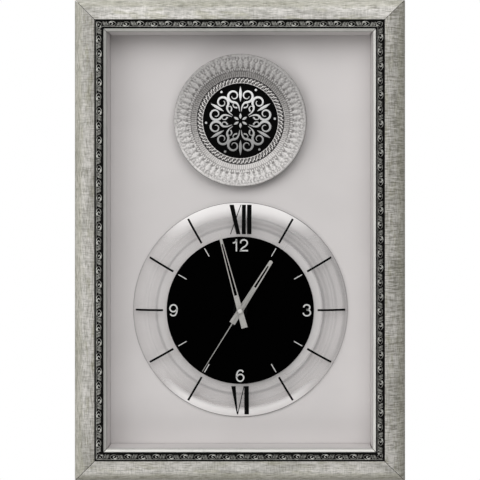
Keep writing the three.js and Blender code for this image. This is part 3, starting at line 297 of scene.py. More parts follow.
class StageSettings(PropertyGroup):
    """Camera, light and floor."""

    distance: length("Distance", 1200, "Camera to the frame's shoulder")
    shoulder: length("Shoulder", 44, "Depth of the frame's widest outline")
    offset_x: length("Camera right", 35, "Camera to the right of the frame's middle")
    offset_z: length("Camera up", 38, "Camera above the frame's middle")
    picture: length("Picture", 480, "Width of the view at the shoulder")
    floor_drop: length("Floor drop", 700, "Floor below the frame")
    floor_reach: length("Floor reach", 950, "Half the floor's width")
    floor_solid: share("Solid floor", 0.3, "Share of the floor's reach before it fades")
    floor: colour("Floor", "#E6E5E2", "Floor colour")
    key: power("Key", 24.5, "Power of the soft key light above")
    key_from: spot("Key from", (0.3, -1.7, 1.25), "Where the key light stands")
    key_size: length("Key size", 2000, "Width of the key light")
    side: power("Side", 23.2, "Power of the soft light at the left")
    side_from: spot("Side from", (-1.5, -1.6, 0.6), "Where the side light stands")
    side_size: length("Side size", 2000, "Width of the side light")
    low: power("Low light", 2.4, "Power of the small light that lifts the shadows from below")
    low_from: spot("Low light from", (-0.05, -0.55, -0.8), "Where the low light stands")
    low_size: length("Low light size", 600, "Width of the low light")
    ambient: share("Ambient", 0.235, "Strength of the even light from all around")
    mirrored: share("Mirrored", 0.58, "Strength of the surroundings in reflections")
    ceiling: share("Ceiling", 0.45, "How much brighter the surroundings are above than below")


GROUPS = {
    "moulding": MouldingSettings,
    "ornament": OrnamentSettings,
    "box": BoxSettings,
    "plate": PlateSettings,
    "glass": GlassSettings,
    "dial": DialSettings,
    "hands": HandSettings,
    "movement": MovementSettings,
    "stage": StageSettings,
}


class ClockSettings(PropertyGroup):
    """All sizes and colours of the clock."""

    __annotations__ = {
        name: PointerProperty(type=group, name=name.capitalize(), description=group.__doc__)
        for name, group in GROUPS.items()
    }


def settings_of(context, name):
    """A group of the clock's settings."""
    return getattr(context.scene.wall_clock, name)


# Shader expressions

def pick(sockets, key):
    """A socket by place, or by name among those in use."""
    if isinstance(key, int):
        return sockets[key]
    for socket in sockets:
        if socket.enabled and key in (socket.name, socket.identifier):
            return socket
    raise KeyError(key)


def by_math(operation, swapped=False):
    """A method that works on a wire and a value with a Math node."""

    def method(wire, value=0.0):
        pair = (value, wire) if swapped else (wire, value)
        return wire.math(operation, *pair)

    return method


class Wire:
    """A shader socket whose arithmetic adds Math nodes to its tree."""

    def __init__(self, tree, socket):
        self.tree = tree
        self.socket = socket

    def math(self, operation, first, second):
        return self.tree.node("ShaderNodeMath", {"operation": operation}, {0: first, 1: second})

    __add__ = __radd__ = by_math("ADD")
    __mul__ = __rmul__ = by_math("MULTIPLY")
    __sub__, __rsub__ = by_math("SUBTRACT"), by_math("SUBTRACT", swapped=True)
    __truediv__, __rtruediv__ = by_math("DIVIDE"), by_math("DIVIDE", swapped=True)
    __pow__, __rpow__ = by_math("POWER"), by_math("POWER", swapped=True)
    __abs__ = by_math("ABSOLUTE")

    def other(self, name):
        """Another output of the same node."""
        return Wire(self.tree, pick(self.socket.node.outputs, name))


class Tree:
    """A node tree that is built by expressions."""

    # Shift of the pattern from one object to the next
    OWN_SHIFT = (7.3, 7.3, 7.3)

    def __init__(self, owner):
        owner.use_nodes = True
        self.nodes = owner.node_tree.nodes
        self.links = owner.node_tree.links
        self.nodes.clear()

    def node(self, kind, settings=None, sockets=None, out=0):
        """Adds a node: its settings first, then the values or links of its sockets."""
        node = self.nodes.new(kind)
        for key, value in (settings or {}).items():
            setattr(node, key, value)
        for key, value in (sockets or {}).items():
            socket = pick(node.inputs, key)
            if isinstance(value, Wire):
                self.links.new(value.socket, socket)
            else:
                socket.default_value = value
        if not node.outputs:
            return None
        return Wire(self, pick(node.outputs, out))

    def vector_math(self, operation, first, second):
        settings = {"operation": operation}
        return self.node("ShaderNodeVectorMath", settings, {0: first, 1: second})

    def here(self, kind="Object"):
        return self.node("ShaderNodeTexCoord", out=kind)

    def own_place(self):
        """Object coordinates shifted by a different amount for each object."""
        place = self.node("ShaderNodeObjectInfo", out="Location")
        return self.vector_math("ADD", self.here(), self.stretch(place, self.OWN_SHIFT))

    def stretch(self, vector, factors):
        return self.vector_math("MULTIPLY", vector, factors)

    def axes(self, vector):
        split = self.node("ShaderNodeSeparateXYZ", sockets={0: vector})
        return split, split.other("Y"), split.other("Z")

    def radius(self, vector):
        """Distance from the Z axis."""
        flat = self.stretch(vector, (1, 1, 0))
        return self.node("ShaderNodeVectorMath", {"operation": "LENGTH"}, {0: flat}, "Value")

    def polar(self, vector):
        """Distance from the Z axis, and x and y over that distance."""
        radius = self.radius(vector)
        x, y, _ = self.axes(vector)
        return radius, x / radius, y / radius

    def noise(self, vector, scale, detail=3.0, roughness=0.6, distortion=0.0):
        return self.node("ShaderNodeTexNoise", sockets={
            "Vector": vector, "Scale": scale, "Detail": detail, "Roughness": roughness,
            "Distortion": distortion,
        })

    def grain(self, vector, scales, detail=3.0, roughness=0.6, distortion=0.0):
        """Noise with a scale of its own along each axis."""
        return self.noise(self.stretch(vector, scales), 1.0, detail, roughness, distortion)

    def bands(self, vector, scale):
        """Even bands along x."""
        sockets = {"Vector": vector, "Scale": scale, "Distortion": 0.0}
        return self.node("ShaderNodeTexWave", {"bands_direction": "X"}, sockets, "Fac")

    def between(self, value, start, end):
        """0 before start, 1 past end, smooth between them."""
        return self.node("ShaderNodeMapRange", {"interpolation_type": "SMOOTHSTEP"}, {
            "Value": value, "From Min": start, "From Max": end, "To Min": 0.0, "To Max": 1.0,
        })

    def ring(self, value, place, width):
        """1 at a place, 0 at a width from it."""
        return self.between(abs(value - place), width, 0.0)

    def mix(self, factor, first, second):
        sockets = {"Factor": factor, "A": first, "B": second}
        return self.node("ShaderNodeMix", {"data_type": "RGBA"}, sockets, "Result")

    def coats(self, base, *coats):
        """Colours laid over a base in turn, each given with how much of it shows."""
        for shown, shade in coats:
            base = self.mix(shown, base, shade)
        return base

    def bump(self, height, strength, distance):
        return self.node("ShaderNodeBump", sockets={
            "Height": height, "Strength": strength, "Distance": distance,
        })

    def behind(self):
        """1 on faces that look at the wall."""
        normal = self.node("ShaderNodeNewGeometry", out="Normal")
        return self.between(self.axes(normal)[1], 0.4, 0.6)

    def attribute(self, name):
        return self.node("ShaderNodeAttribute", {"attribute_name": name}, out="Fac")

    def principled(self, sockets):
        return self.node("ShaderNodeBsdfPrincipled", sockets=sockets)

    def mix_shader(self, factor, first, second):
        return self.node("ShaderNodeMixShader", sockets={0: factor, 1: first, 2: second})


def material_of(name, shade, *args):
    """The material of a name, whose surface is the shader that shade makes in its tree."""
    material = bpy.data.materials.get(name)
    if not material:
        material = bpy.data.materials.new(name)
        tree = Tree(material)
        tree.node("ShaderNodeOutputMaterial", sockets={"Surface": shade(tree, *args)})
    return material


def surface(name, paint, *args):
    """The material of a name, whose principled sockets are what paint returns for its tree."""
    return material_of(name, lambda tree: tree.principled(paint(tree, *args)))


def dark(shade, factor):
    """A colour times a factor."""
    return (*[c * factor for c in shade[:3]], 1.0)


# Finishes

def silver_foil(tree, settings):
    """Streaked silver foil with a linen press; x runs along the rail and y across it."""
    across = tree.axes(tree.here())[1]
    here = tree.own_place()
    pressed = tree.attribute("press")
    clouds = tree.grain(here, (16, 70, 70), 4.0)
    patches = tree.grain(here, (45, 160, 160))
    slubs = tree.grain(here, (130, 950, 950))
    weft = tree.grain(here, (900, 110, 110), 2.0)
    streaks = tree.between(slubs, 0.48, 0.66) * (1 - pressed * 0.3)
    threads = tree.between(weft, 0.48, 0.64) * (0.12 + pressed * 0.75)
    bright_slubs = tree.between(slubs, 0.46, 0.3) * 0.5
    bright_weft = tree.between(weft, 0.46, 0.3) * (0.15 + pressed * 0.6)
    inner = tree.between(across, *OUTER_BAND) * (1 - tree.between(patches, 0.5, 0.66))
    base = tree.coats(
        settings.light,
        (tree.between(clouds, 0.36, 0.68), settings.shade),
        ((1 - inner) * (0.2 + patches * 0.8), settings.tint),
        (streaks * 0.68, dark(settings.tint, 0.4)),
        (threads * 0.82, dark(settings.tint, 0.36)),
        ((bright_slubs + bright_weft) * 0.75, dark(settings.light, 1.3)),
        # Painted shade per rail, deeper where the rail faces away from the light
        (tree.attribute("age"), settings.painted_shade),
    )
    return {
        "Base Color": base,
        "Metallic": 0.15,
        "Roughness": 0.5 + streaks * 0.1 + threads * 0.1,
        "Specular IOR Level": 0.35,
        "Normal": tree.bump(weft * pressed + slubs * 0.8 + clouds * 0.5, 0.4, 0.15 * MM),
    }


def lip_silver(tree, settings):
    """Brushed silver of the lip, worn in spots, with painted shade on some rails and a painted
    shade line along its inner edge.
    """
    # Painted shade: a dark line near the lip's nose, where shade falls into the gap above the liner
    groove = (RAIL_WIDTH - 0.9 * MM, RAIL_WIDTH - 0.3 * MM)
    here = tree.here()
    streaks = tree.grain(here, (40, 900, 900))
    wear = tree.between(tree.noise(here, 55.0, 4.0, 0.65), 0.55, 0.75)
    base = tree.coats(
        settings.lip,
        (tree.between(streaks, 0.4, 0.75) * 0.5, dark(settings.lip, 0.72)),
        (wear * 0.35, dark(settings.lip, 0.6)),
        # Painted shade on the lips of the rails that face away from the light
        (tree.attribute("age"), dark(settings.lip, 0.2)),
        (tree.between(tree.axes(here)[1], *groove) * 0.4, dark(settings.lip, 0.25)),
    )
    return {
        "Base Color": base,
        "Metallic": 0.2,
        "Roughness": 0.35 + wear * 0.2,
        "Normal": tree.bump(streaks, 0.2, 0.05 * MM),
    }


def raw_wood(tree, settings):
    """Bare softwood with its grain along the rail."""
    here = tree.here()
    grain = tree.grain(here, (9, 260, 260), 4.0, 0.6, 0.6)
    pores = tree.grain(here, (160, 2600, 2600), 2.0, 0.55)
    base = tree.coats(
        settings.wood,
        (tree.between(grain, 0.38, 0.66), dark(settings.wood, 0.62)),
        (tree.between(pores, 0.6, 0.75) * 0.4, dark(settings.wood, 0.4)),
    )
    return {
        "Base Color": base,
        "Roughness": 0.72 + pores * 0.15,
        "Normal": tree.bump(grain + pores, 0.25, 0.1 * MM),
    }


def scroll_relief(tree, settings):
    """Black ground, dull leaves and silver-rubbed scrolls, by the height of the relief."""
    rub = tree.noise(tree.here(), 380.0)
    worn = tree.attribute("relief") + (rub - 0.5) * 0.3
    base = tree.coats(
        settings.ground,
        (tree.between(worn, 0.16, 0.42), settings.leaf),
        (tree.between(worn, 0.5, 0.85), settings.scroll),
    )
    return {
        "Base Color": base,
        "Metallic": tree.between(worn, 0.2, 0.6) * 0.3,
        "Roughness": 0.55 - tree.between(worn, 0.2, 0.7) * 0.14,
        "Specular IOR Level": 0.12,
        "Normal": tree.bump(rub, 0.15, 0.08 * MM),
    }


def pale_paint(tree, settings, shade_lines=()):
    """Smooth pale paint in front and bare fibreboard on faces that look at the wall.

    Each shade line is painted shade, a dark line where shade falls at a join: its depth from the
    wall, its width and its strength.
    """
    here = tree.here()
    cloud = tree.noise(here, 16.0, 3.0, 0.5)
    peel = tree.noise(here, 900.0, 2.0, 0.5)
    fibre = tree.grain(here, (500, 500, 1400), 4.0, 0.7, 0.4)
    flecks = tree.between(tree.noise(here, 1700.0, 2.0), 0.62, 0.72)
    rear = tree.behind()
    depth = tree.axes(here)[1]
    front = tree.coats(
        settings.paint,
        (tree.between(cloud, 0.35, 0.7) * 0.35, dark(settings.paint, 0.9)),
        # Painted shade at the joins of the liner
        *[(tree.ring(depth, -place, width) * strength, dark(settings.paint, 0.22))
          for place, width, strength in shade_lines],
    )
    bare = tree.coats(
        settings.backing,
        (tree.between(fibre, 0.35, 0.7), dark(settings.backing, 0.66)),
        (flecks * 0.5, dark(settings.backing, 0.4)),
    )
    return {
        "Base Color": tree.mix(rear, front, bare),
        "Roughness": 0.62 + peel * 0.08 + rear * 0.15,
        "Normal": tree.bump(peel + fibre * rear, 0.12, 0.08 * MM),
    }


def metal(tree, shade, rough=0.32, grain=(300, 300, 2400), metallic=1.0):
    """Drawn or stamped metal with fine lines and dull spots."""
    here = tree.here()
    lines = tree.grain(here, grain)
    spots = tree.between(tree.noise(here, 260.0, 4.0, 0.65), 0.52, 0.7)
    base = tree.coats(
        shade,
        (tree.between(lines, 0.35, 0.7) * 0.5, dark(shade, 0.74)),
        (spots * 0.3, dark(shade, 0.55)),
    )
    return {
        "Base Color": base,
        "Metallic": metallic,
        "Roughness": rough + lines * 0.12 + spots * 0.14,
        "Normal": tree.bump(lines, 0.16, 0.04 * MM),
    }


def moulded(tree, shade, rough=0.45, scale=1500.0):
    """Moulded plastic or rubber with a fine spark texture."""
    here = tree.here()
    spark = tree.noise(here, scale, 2.0)
    cloud = tree.noise(here, 90.0, 3.0, 0.5)
    return {
        "Base Color": tree.mix(tree.between(cloud, 0.35, 0.7) * 0.4, shade, dark(shade, 0.8)),
        "Roughness": rough + cloud * 0.1,
        "Normal": tree.bump(spark, 0.22, 0.06 * MM),
    }


def pressed_silver(tree, settings):
    """Antiqued silver: bright on the raised work, dark in the hollows, black behind the rope, with
    painted shade above, on the right, round the edge and on the roll's lower right, and painted
    light on the lower wall.
    """
    wall_middle = DISC_RADIUS + 9.5 * MM
    rope_middle = DISC_RADIUS + 3.4 * MM
    reach = 4.5 * MM
    edge_shade_band = (PLATE_RADIUS - 0.8 * MM, PLATE_RADIUS - 0.1 * MM)
    roll_band = (PLATE_RADIUS - 2.8 * MM, PLATE_RADIUS - 1.2 * MM)
    here = tree.here()
    rub = tree.noise(here, 420.0)
    wear = tree.noise(here, 560.0, 2.0, 0.5)
    worn = tree.attribute("relief") + (rub - 0.5) * 0.5
    crest = tree.between(worn, 0.05, 0.6)
    radius, right, up = tree.polar(here)
    wall = tree.ring(radius, wall_middle, reach)
    rope = tree.ring(radius, rope_middle, reach)
    # Painted shade, deepest at the top of the wall and the rim, and a little on the right
    shade_from_above = tree.between(up, -0.7, 1.0) * (0.41 + wall * 0.07 - rope * 0.41)
    painted_shade = shade_from_above + tree.between(right, 0.3, 1.0) * 0.07
    # Painted light on the lower part of the wall
    lit_wall = wall * tree.between(up, -0.2, -0.9)
    lower_right_shade = tree.between(right - up, 0.0, 0.9)
    glow = dark(settings.silver, 1.25)
    black = tree.attribute("ink") * (1 - tree.between(worn, 0.25, 0.8))
    base = tree.coats(
        settings.patina,
        (crest, settings.silver),
        (tree.between(wear, 0.46, 0.34) * 0.45, dark(settings.patina, 0.6)),
        (tree.between(wear, 0.54, 0.66) * 0.6, glow),
        (painted_shade * (1.2 - crest * 0.3), dark(settings.patina, 0.4)),
        (lit_wall * (0.45 + crest * 0.45), glow),
        # Painted shade round the plate's edge and on the lower right of the roll, so the roll's
        # bright rub shows only where light falls
        (tree.between(radius, *edge_shade_band) * 0.6, dark(settings.patina, 0.3)),
        (tree.between(radius, *roll_band) * lower_right_shade * 0.4, dark(settings.patina, 0.5)),
        (rope * crest * 0.7, glow),
        (black, settings.black),
    )
    return {
        "Base Color": base,
        "Metallic": (1 - black) * 0.35,
        "Roughness": 0.44 - tree.between(worn, 0.2, 0.8) * 0.1,
        "Specular IOR Level": 0.3,
        "Normal": tree.bump(rub, 0.14, 0.06 * MM),
    }


def tracery_silver(tree, settings):
    """Silver strokes with painted light: bright at the top of the disc, fading to painted shade at
    the bottom.
    """
    here = tree.here()
    rise = tree.between(tree.axes(here)[1], -DISC_RADIUS, DISC_RADIUS)
    rub = tree.noise(here, 600.0)
    base = tree.coats(
        settings.dim,
        # Painted light from above
        (rise, settings.bright),
        (tree.between(rub, 0.5, 0.75) * 0.3, settings.dim),
    )
    return {
        "Base Color": base,
        "Metallic": 0.2,
        "Roughness": 0.34 + rub * 0.12,
        "Normal": tree.bump(rub, 0.12, 0.05 * MM),
    }


# Light that the clear part of the glass lets through
CLEAR = (0.985, 0.985, 0.985, 1.0)
# Painted shade lines at the folds of the glass: distance outside the crease, half width, strength,
# and what is added towards two o'clock
FOLD_SHADES = (
    (1.6 * MM, 2.6 * MM, 0.24, -0.03),
    (6.4 * MM, 3.0 * MM, 0.0, 0.1),
    (10.6 * MM, 1.5 * MM, 0.09, 0.0),
)


def hazy(tree, veil, shade, ripple):
    """Clear glass with a veil of haze."""
    clear = tree.node("ShaderNodeBsdfTransparent", sockets={"Color": CLEAR})
    haze = tree.principled({"Base Color": shade, "Roughness": 0.3 + ripple * 0.2})
    return tree.mix_shader(veil, clear, haze)


def glass_ripple(tree):
    """Faint unevenness of the glass."""
    return tree.noise(tree.here(), 35.0, 2.0, 0.5)


def clear_glass(tree, settings):
    """Clear glass with painted light: painted highlights along the top and bottom of the border and
    on the right of the flat ring, and painted shade lines at the folds, the edge and the upper
    right.
    """
    crease = DIAL_RADIUS + settings.flat_margin
    flat_end = (crease + 2.5 * MM, crease - 2.5 * MM)
    high_band = (GLASS_RADIUS - 21 * MM, GLASS_RADIUS)
    low_band = (GLASS_RADIUS - 12 * MM, GLASS_RADIUS - 4 * MM)
    rim_end = (GLASS_RADIUS, GLASS_RADIUS - 1 * MM)
    radius, right, up = tree.polar(tree.here())
    ripple = glass_ripple(tree)
    facing = tree.node("ShaderNodeLayerWeight", sockets={"Blend": 0.5}, out="Facing")
    toward_two = tree.between(right * 0.82 + up * 0.57, -0.5, 0.9)
    flat_part = tree.between(radius, *flat_end)
    # Painted shade lines at the edge, the folds and a faint ring, and painted shade at the right
    # edge and upper right
    lines = tree.ring(radius, GLASS_RADIUS, 1.2 * MM) * 0.45
    for place, width, strength, added in FOLD_SHADES:
        lines = lines + tree.ring(radius, crease + place, width) * (toward_two * added + strength)
    sideways = 1 - tree.between(abs(up), 0.6, 0.95)
    ring_shade = tree.ring(radius, crease + 14 * MM, 2.4 * MM) * (0.05 + toward_two * 0.08)
    right_edge_shade = tree.ring(radius, GLASS_RADIUS - 3 * MM, 4 * MM) * tree.between(right, 0.7, 0.98)
    upper_right_shade = tree.between(right * 0.75 + up * 0.66, 0.55, 1.0) * (1 - flat_part)
    lines = lines + ring_shade * sideways + right_edge_shade * 0.2 + upper_right_shade * 0.085
    # Painted highlights along the top and bottom of the border, and on the right of the flat ring
    high_rim_highlight = tree.between(radius, *high_band) * tree.between(up, 0.6, 0.95) * 0.92
    low_rim_highlight = tree.between(radius, *low_band) * tree.between(up, -0.6, -0.95) * 1.25
    rim = (high_rim_highlight + low_rim_highlight) * tree.between(radius, *rim_end)
    pale = rim + flat_part * tree.between(right, 0.3, 1.0) * 0.19
    drawn = lines * (1 - pale)
    veil = 0.02 + facing * 0.05 + drawn * 0.45 + flat_part * 0.08 + pale * 0.74
    tone = tree.mix(tree.between(drawn, 0.0, 0.2), settings.clear, settings.line)
    skin = tree.node("ShaderNodeBsdfGlossy", sockets={
        "Color": (1.0, 1.0, 1.0, 1.0), "Roughness": 0.16 + ripple * 0.08,
    })
    glint = 0.035 + facing ** 5 * 0.9
    return tree.mix_shader(glint, hazy(tree, veil * (2 - veil), tone, ripple), skin)


def inner_glass(tree, settings):
    """Inner face of the glass, with only a trace of haze."""
    ripple = glass_ripple(tree)
    return hazy(tree, ripple * 0.01, settings.clear, ripple)


def matt_print(tree, shade, rough=0.5, gloss=0.3):
    """Screen-printed paint with a faint grain."""
    here = tree.here()
    grain = tree.noise(here, 2200.0, 2.0, 0.5)
    cloud = tree.noise(here, 120.0, 3.0, 0.5)
    return {
        "Base Color": tree.mix(tree.between(cloud, 0.4, 0.7) * 0.35, shade, dark(shade, 0.82)),
        "Roughness": rough + grain * 0.12,
        "Specular IOR Level": gloss,
        "Normal": tree.bump(grain, 0.12, 0.03 * MM),
    }


def wound_copper(tree, settings):
    """Turns of enamelled wire."""
    here = tree.here()
    turns = tree.bands(here, 2600.0)
    return {
        "Base Color": tree.mix(turns, dark(settings.copper, 0.4), settings.copper),
        "Metallic": 0.85,
        "Roughness": 0.3 + tree.noise(here, 300.0) * 0.2,
        "Normal": tree.bump(turns, 0.6, 0.1 * MM),
    }


def battery_sleeve(tree, settings):
    """Printed sleeve with a dark band at the positive end and bare steel at both ends."""
    first, last = low("battery", 0), high("battery", 0)
    centre, half = (first + last) / 2, (last - first) / 2
    band_start = (last - 15 * MM, last - 14.6 * MM)
    bare_start = (half - 2.2 * MM, half - 2 * MM)
    here = tree.here()
    along = tree.axes(here)[0]
    bare = tree.between(abs(along - centre), *bare_start)
    scuff = tree.between(tree.noise(here, 320.0, 4.0, 0.65), 0.58, 0.72)
    base = tree.coats(
        settings.sleeve,
        (tree.between(along, *band_start), settings.band),
        (bare, settings.can),
        (scuff * 0.25, settings.scuff),
    )
    return {
        "Base Color": base,
        "Metallic": bare * 0.9,
        "Roughness": 0.3 + scuff * 0.2,
        "Normal": tree.bump(scuff, 0.1, 0.04 * MM),
    }


def floor_paint(tree, settings):
    """Plain paint that fades out towards the floor's edges."""
    here = tree.here()
    grain = tree.noise(here, 60.0, 3.0, 0.5)
    reach = settings.floor_reach
    return {
        "Base Color": tree.mix(grain * 0.15, settings.floor, dark(settings.floor, 0.94)),
        "Roughness": 0.8 + grain * 0.1,
        "Alpha": tree.between(tree.radius(here), reach, reach * settings.floor_solid),
    }


# Mesh helpers

# Distance within which points are one
MERGE = 1e-6
# Angles below which faces of a solid lie in one plane, and above which their edge is rounded
FLAT_ANGLE = math.radians(1)
SHARP_ANGLE = math.radians(32)
# Steps across a rounded edge
EDGE_STEPS = 2


def mesh_of(points, faces, smooth=35.0, values=None, marks=None):
    """A mesh from points and faces, smooth except where they meet at more than an angle in degrees.

    values holds a number per point for each attribute, and marks a material's number per face.
    """
    mesh = bpy.data.meshes.new("mesh")
    mesh.from_pydata(np.asarray(points, float).tolist(), [], faces)
    for name, numbers in (values or {}).items():
        attribute = mesh.attributes.new(name, "FLOAT", "POINT")
        attribute.data.foreach_set("value", np.asarray(numbers, np.float32))
    if marks is not None:
        mesh.polygons.foreach_set("material_index", marks)
    finish_mesh(mesh, smooth)
    return mesh


def clean_mesh(mesh, join_flat=False):
    """Merges points that coincide, joins faces in one plane if asked, and turns faces outward."""
    work = bmesh.new()
    work.from_mesh(mesh)
    bmesh.ops.remove_doubles(work, verts=work.verts, dist=MERGE)
    if join_flat:
        bmesh.ops.dissolve_limit(work, angle_limit=FLAT_ANGLE, verts=work.verts, edges=work.edges)
    bmesh.ops.recalc_face_normals(work, faces=work.faces)
    work.to_mesh(mesh)
    work.free()
    mesh.polygons.foreach_set("use_smooth", [True] * len(mesh.polygons))


def finish_mesh(mesh, smooth):
    """Cleans a mesh and sets its smooth shading."""
    clean_mesh(mesh)
    mesh.set_sharp_from_angle(angle=math.radians(smooth))
    mesh.update()


def evaluated(carrier):
    """The mesh of an object with its modifiers or curve settings applied; the object goes."""
    graph = bpy.context.evaluated_depsgraph_get()
    mesh = bpy.data.meshes.new_from_object(carrier.evaluated_get(graph))
    bpy.data.objects.remove(carrier)
    return mesh


def grid_faces(rows, columns, start=0, wrap=False):
    """Quads of a grid of points; wrap joins the last column to the first."""
    faces = []
    for i in range(rows - 1):
        for j in range(columns if wrap else columns - 1):
            k = (j + 1) % columns
            a = start + i * columns
            b = a + columns
            faces.append((a + j, a + k, b + k, b + j))
    return faces


def turned(radius, angle, height):
    """Points at a radius and an angle about Z, at a height."""
    x, y = radius * np.cos(angle), radius * np.sin(angle)
    return np.stack(np.broadcast_arrays(x, y, height), axis=-1).reshape(-1, 3)


def round_angles(facets):
    """Even angles of a full turn."""
    return TAU * np.arange(facets) / facets


def lathe(profile, facets, smooth=35.0):
    """A closed profile of (radius, height) points turned about Z."""
    radius, height = np.array(profile, float).T[:, :, None]
    faces = grid_faces(len(profile), facets, wrap=True)
    last = (len(profile) - 1) * facets
    faces += [(last + j, last + (j + 1) % facets, (j + 1) % facets, j) for j in range(facets)]
    return mesh_of(turned(radius, round_angles(facets), height), faces, smooth)


def eased_disc(inner, outer, back, front, soft, facets):
    """A disc or ring about Z with its outer edges eased."""
    return lathe([
        (inner, back), (outer - soft, back), (outer, back + soft),
        (outer, front - soft), (outer - soft, front), (inner, front),
    ], facets)


def joined(meshes):
    """One mesh from several."""
    work = bmesh.new()
    for mesh in meshes:
        work.from_mesh(mesh)
        bpy.data.meshes.remove(mesh)
    out = bpy.data.meshes.new("mesh")
    work.to_mesh(out)
    work.free()
    return out


def cut_sheet(outlines, back, front, edge):
    """A sheet in the XY plane with its holes, from back to front along Z, with rounded edges."""
    curve = bpy.data.curves.new("outline", "CURVE")
    curve.dimensions = "2D"
    curve.fill_mode = "BOTH"
    curve.extrude = (front - back) / 2 - edge
    curve.bevel_depth = edge
    curve.bevel_resolution = EDGE_STEPS
    curve.offset = -edge
    for outline in outlines:
        spline = curve.splines.new("POLY")
        spline.points.add(len(outline) - 1)
        for point, (x, y) in zip(spline.points, outline):
            point.co = (x, y, 0.0, 1.0)
        spline.use_cyclic_u = True
    carrier = bpy.data.objects.new("outline", curve)
    bpy.context.collection.objects.link(carrier)
    mesh = evaluated(carrier)
    bpy.data.curves.remove(curve)
    mesh.transform(Matrix.Translation((0, 0, (front + back) / 2)))
    mesh.materials.clear()
    finish_mesh(mesh, 35.0)
    return mesh


def in_metres(points):
    return np.array(points, float) * MM


# Cross sections of a stroke: across in widths, and height
CROWNED = ((-0.5, 0.0), (-0.34, 0.8), (0.0, 1.0), (0.34, 0.8), (0.5, 0.0))
SQUARE = ((-0.5, 0.0), (-0.5, 1.0), (0.5, 1.0), (0.5, 0.0))


def ribbon(path, widths, floor, rise, section=SQUARE):
    """A raised stroke along a path of (x, y) points with a width at each, on a floor height."""
    path = np.array(path, float)
    along = np.gradient(path, axis=0)
    along /= np.maximum(np.linalg.norm(along, axis=1, keepdims=True), 1e-12)
    side = np.stack([-along[:, 1], along[:, 0]], axis=1)
    side *= np.broadcast_to(np.array(widths, float), (len(path),))[:, None]
    points = []
    for place, normal in zip(path, side):
        for across, height in section:
            points.append((*(place + normal * across), floor + rise * height))
    n = len(section)
    last = (len(path) - 1) * n
    faces = grid_faces(len(path), n)
    faces += [(a, a + n, a + 2 * n - 1, a + n - 1) for a in range(0, last, n)]
    faces += [tuple(range(n)), tuple(reversed(range(last, last + n)))]
    return mesh_of(points, faces, 50.0)


def smooth_path(points, steps=8):
    """A Catmull-Rom curve through points."""
    pts = [np.array(p, float) for p in points]
    n = len(pts)
    out = []
    for i in range(n - 1):
        p0, p1, p2, p3 = (pts[min(max(i + k, 0), n - 1)] for k in (-1, 0, 1, 2))
        for t in np.arange(steps) / steps:
            out.append(0.5 * (
                2 * p1 + (p2 - p0) * t + (2 * p0 - 5 * p1 + 4 * p2 - p3) * t ** 2
                + (3 * p1 - p0 - 3 * p2 + p3) * t ** 3
            ))
    return np.array([*out, pts[-1]])


def bezier(controls, steps):
    """Points along a Bezier curve from its first control point to its last."""
    n = len(controls) - 1
    t = np.linspace(0, 1, steps + 1)[:, None]
    return sum(
        math.comb(n, k) * np.array(control, float) * t ** k * (1 - t) ** (n - k)
        for k, control in enumerate(controls)
    )


def spread(values, steps):
    """Values at even steps, in line between those given."""
    return np.interp(np.linspace(0, 1, steps), np.linspace(0, 1, len(values)), values)


def distance_to(points, path, widths):
    """Least distance from each point to a path's segments, over the half width there."""
    best = np.full(len(points), 1e9)
    for a, b, wa, wb in zip(path[:-1], path[1:], widths[:-1], widths[1:]):
        ab = b - a
        t = np.clip(((points - a) @ ab) / max(ab @ ab, 1e-18), 0, 1)
        gap = np.linalg.norm(points - a - t[:, None] * ab, axis=1)
        best = np.minimum(best, gap / (wa + (wb - wa) * t))
    return best


def dome(distance):
    """1 in the middle and 0 from a distance of 1, rounded."""
    return np.sqrt(np.clip(1 - distance ** 2, 0, 1))


def ramp(value):
    """0 below 0 and 1 above 1."""
    return np.clip(value, 0, 1)


def raised(points, strokes):
    """Height at points of rounded strokes, each given as a path, its half widths and a height."""
    height = np.zeros(len(points))
    for path, widths, top in strokes:
        height = np.maximum(height, top * dome(distance_to(points, path, widths)))
    return height


def add_piece(name, mesh, materials, replaced=(), place=None, body=BOX):
    """Links a piece, and says what it rides on, takes its finish from and stands for."""
    piece = bpy.data.objects.new(name, mesh)
    mesh.name = name
    bpy.context.scene.collection.objects.link(piece)
    if place is not None:
        piece.matrix_world = place
    for material in materials:
        mesh.materials.append(material)
    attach(piece, body)
    if replaced:
        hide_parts(*replaced)


def softened(node, edge, material, body=BOX):
    """A copy of a node's solid with its sharp edges rounded, in its place."""
    mesh = bpy.data.objects[node].data.copy()
    mesh.materials.clear()
    clean_mesh(mesh, join_flat=True)
    carrier = bpy.data.objects.new(node, mesh)
    bpy.context.collection.objects.link(carrier)
    bevel = carrier.modifiers.new("edges", "BEVEL")
    bevel.width = edge
    bevel.segments = EDGE_STEPS
    bevel.limit_method = "ANGLE"
    bevel.angle_limit = SHARP_ANGLE
    flatten = carrier.modifiers.new("flat", "WEIGHTED_NORMAL")
    flatten.weight = 100
    result = evaluated(carrier)
    bpy.data.meshes.remove(mesh)
    add_piece(f"{node}_finished", result, [material], (node,), body=body)


def dial_place(centre, angle=0.0):
    """Matrix of a plane on the wall: x right, y up, z out, turned clockwise by an angle."""
    base = Matrix(((1, 0, 0, centre[0]), (0, 0, -1, 0), (0, 1, 0, centre[1]), (0, 0, 0, 1)))
    return base @ Matrix.Rotation(-angle, 4, "Z")


def rail_place(side):
    """Matrix of a rail, with x along it, y inward and z out from the wall; and half its length."""
    along, inward, half, reach = {
        "bottom": ((1, 0, 0), (0, 0, 1), HALF_WIDTH, HALF_HEIGHT),
        "right": ((0, 0, 1), (-1, 0, 0), HALF_HEIGHT, HALF_WIDTH),
        "top": ((-1, 0, 0), (0, 0, -1), HALF_WIDTH, HALF_HEIGHT),
        "left": ((0, 0, -1), (1, 0, 0), HALF_HEIGHT, HALF_WIDTH),
    }[side]
    matrix = Matrix((along, inward, (0, -1, 0))).transposed().to_4x4()
    matrix.translation = Vector((0, 0, FRAME_MIDDLE)) - reach * Vector(inward)
    return matrix, half


# Operators

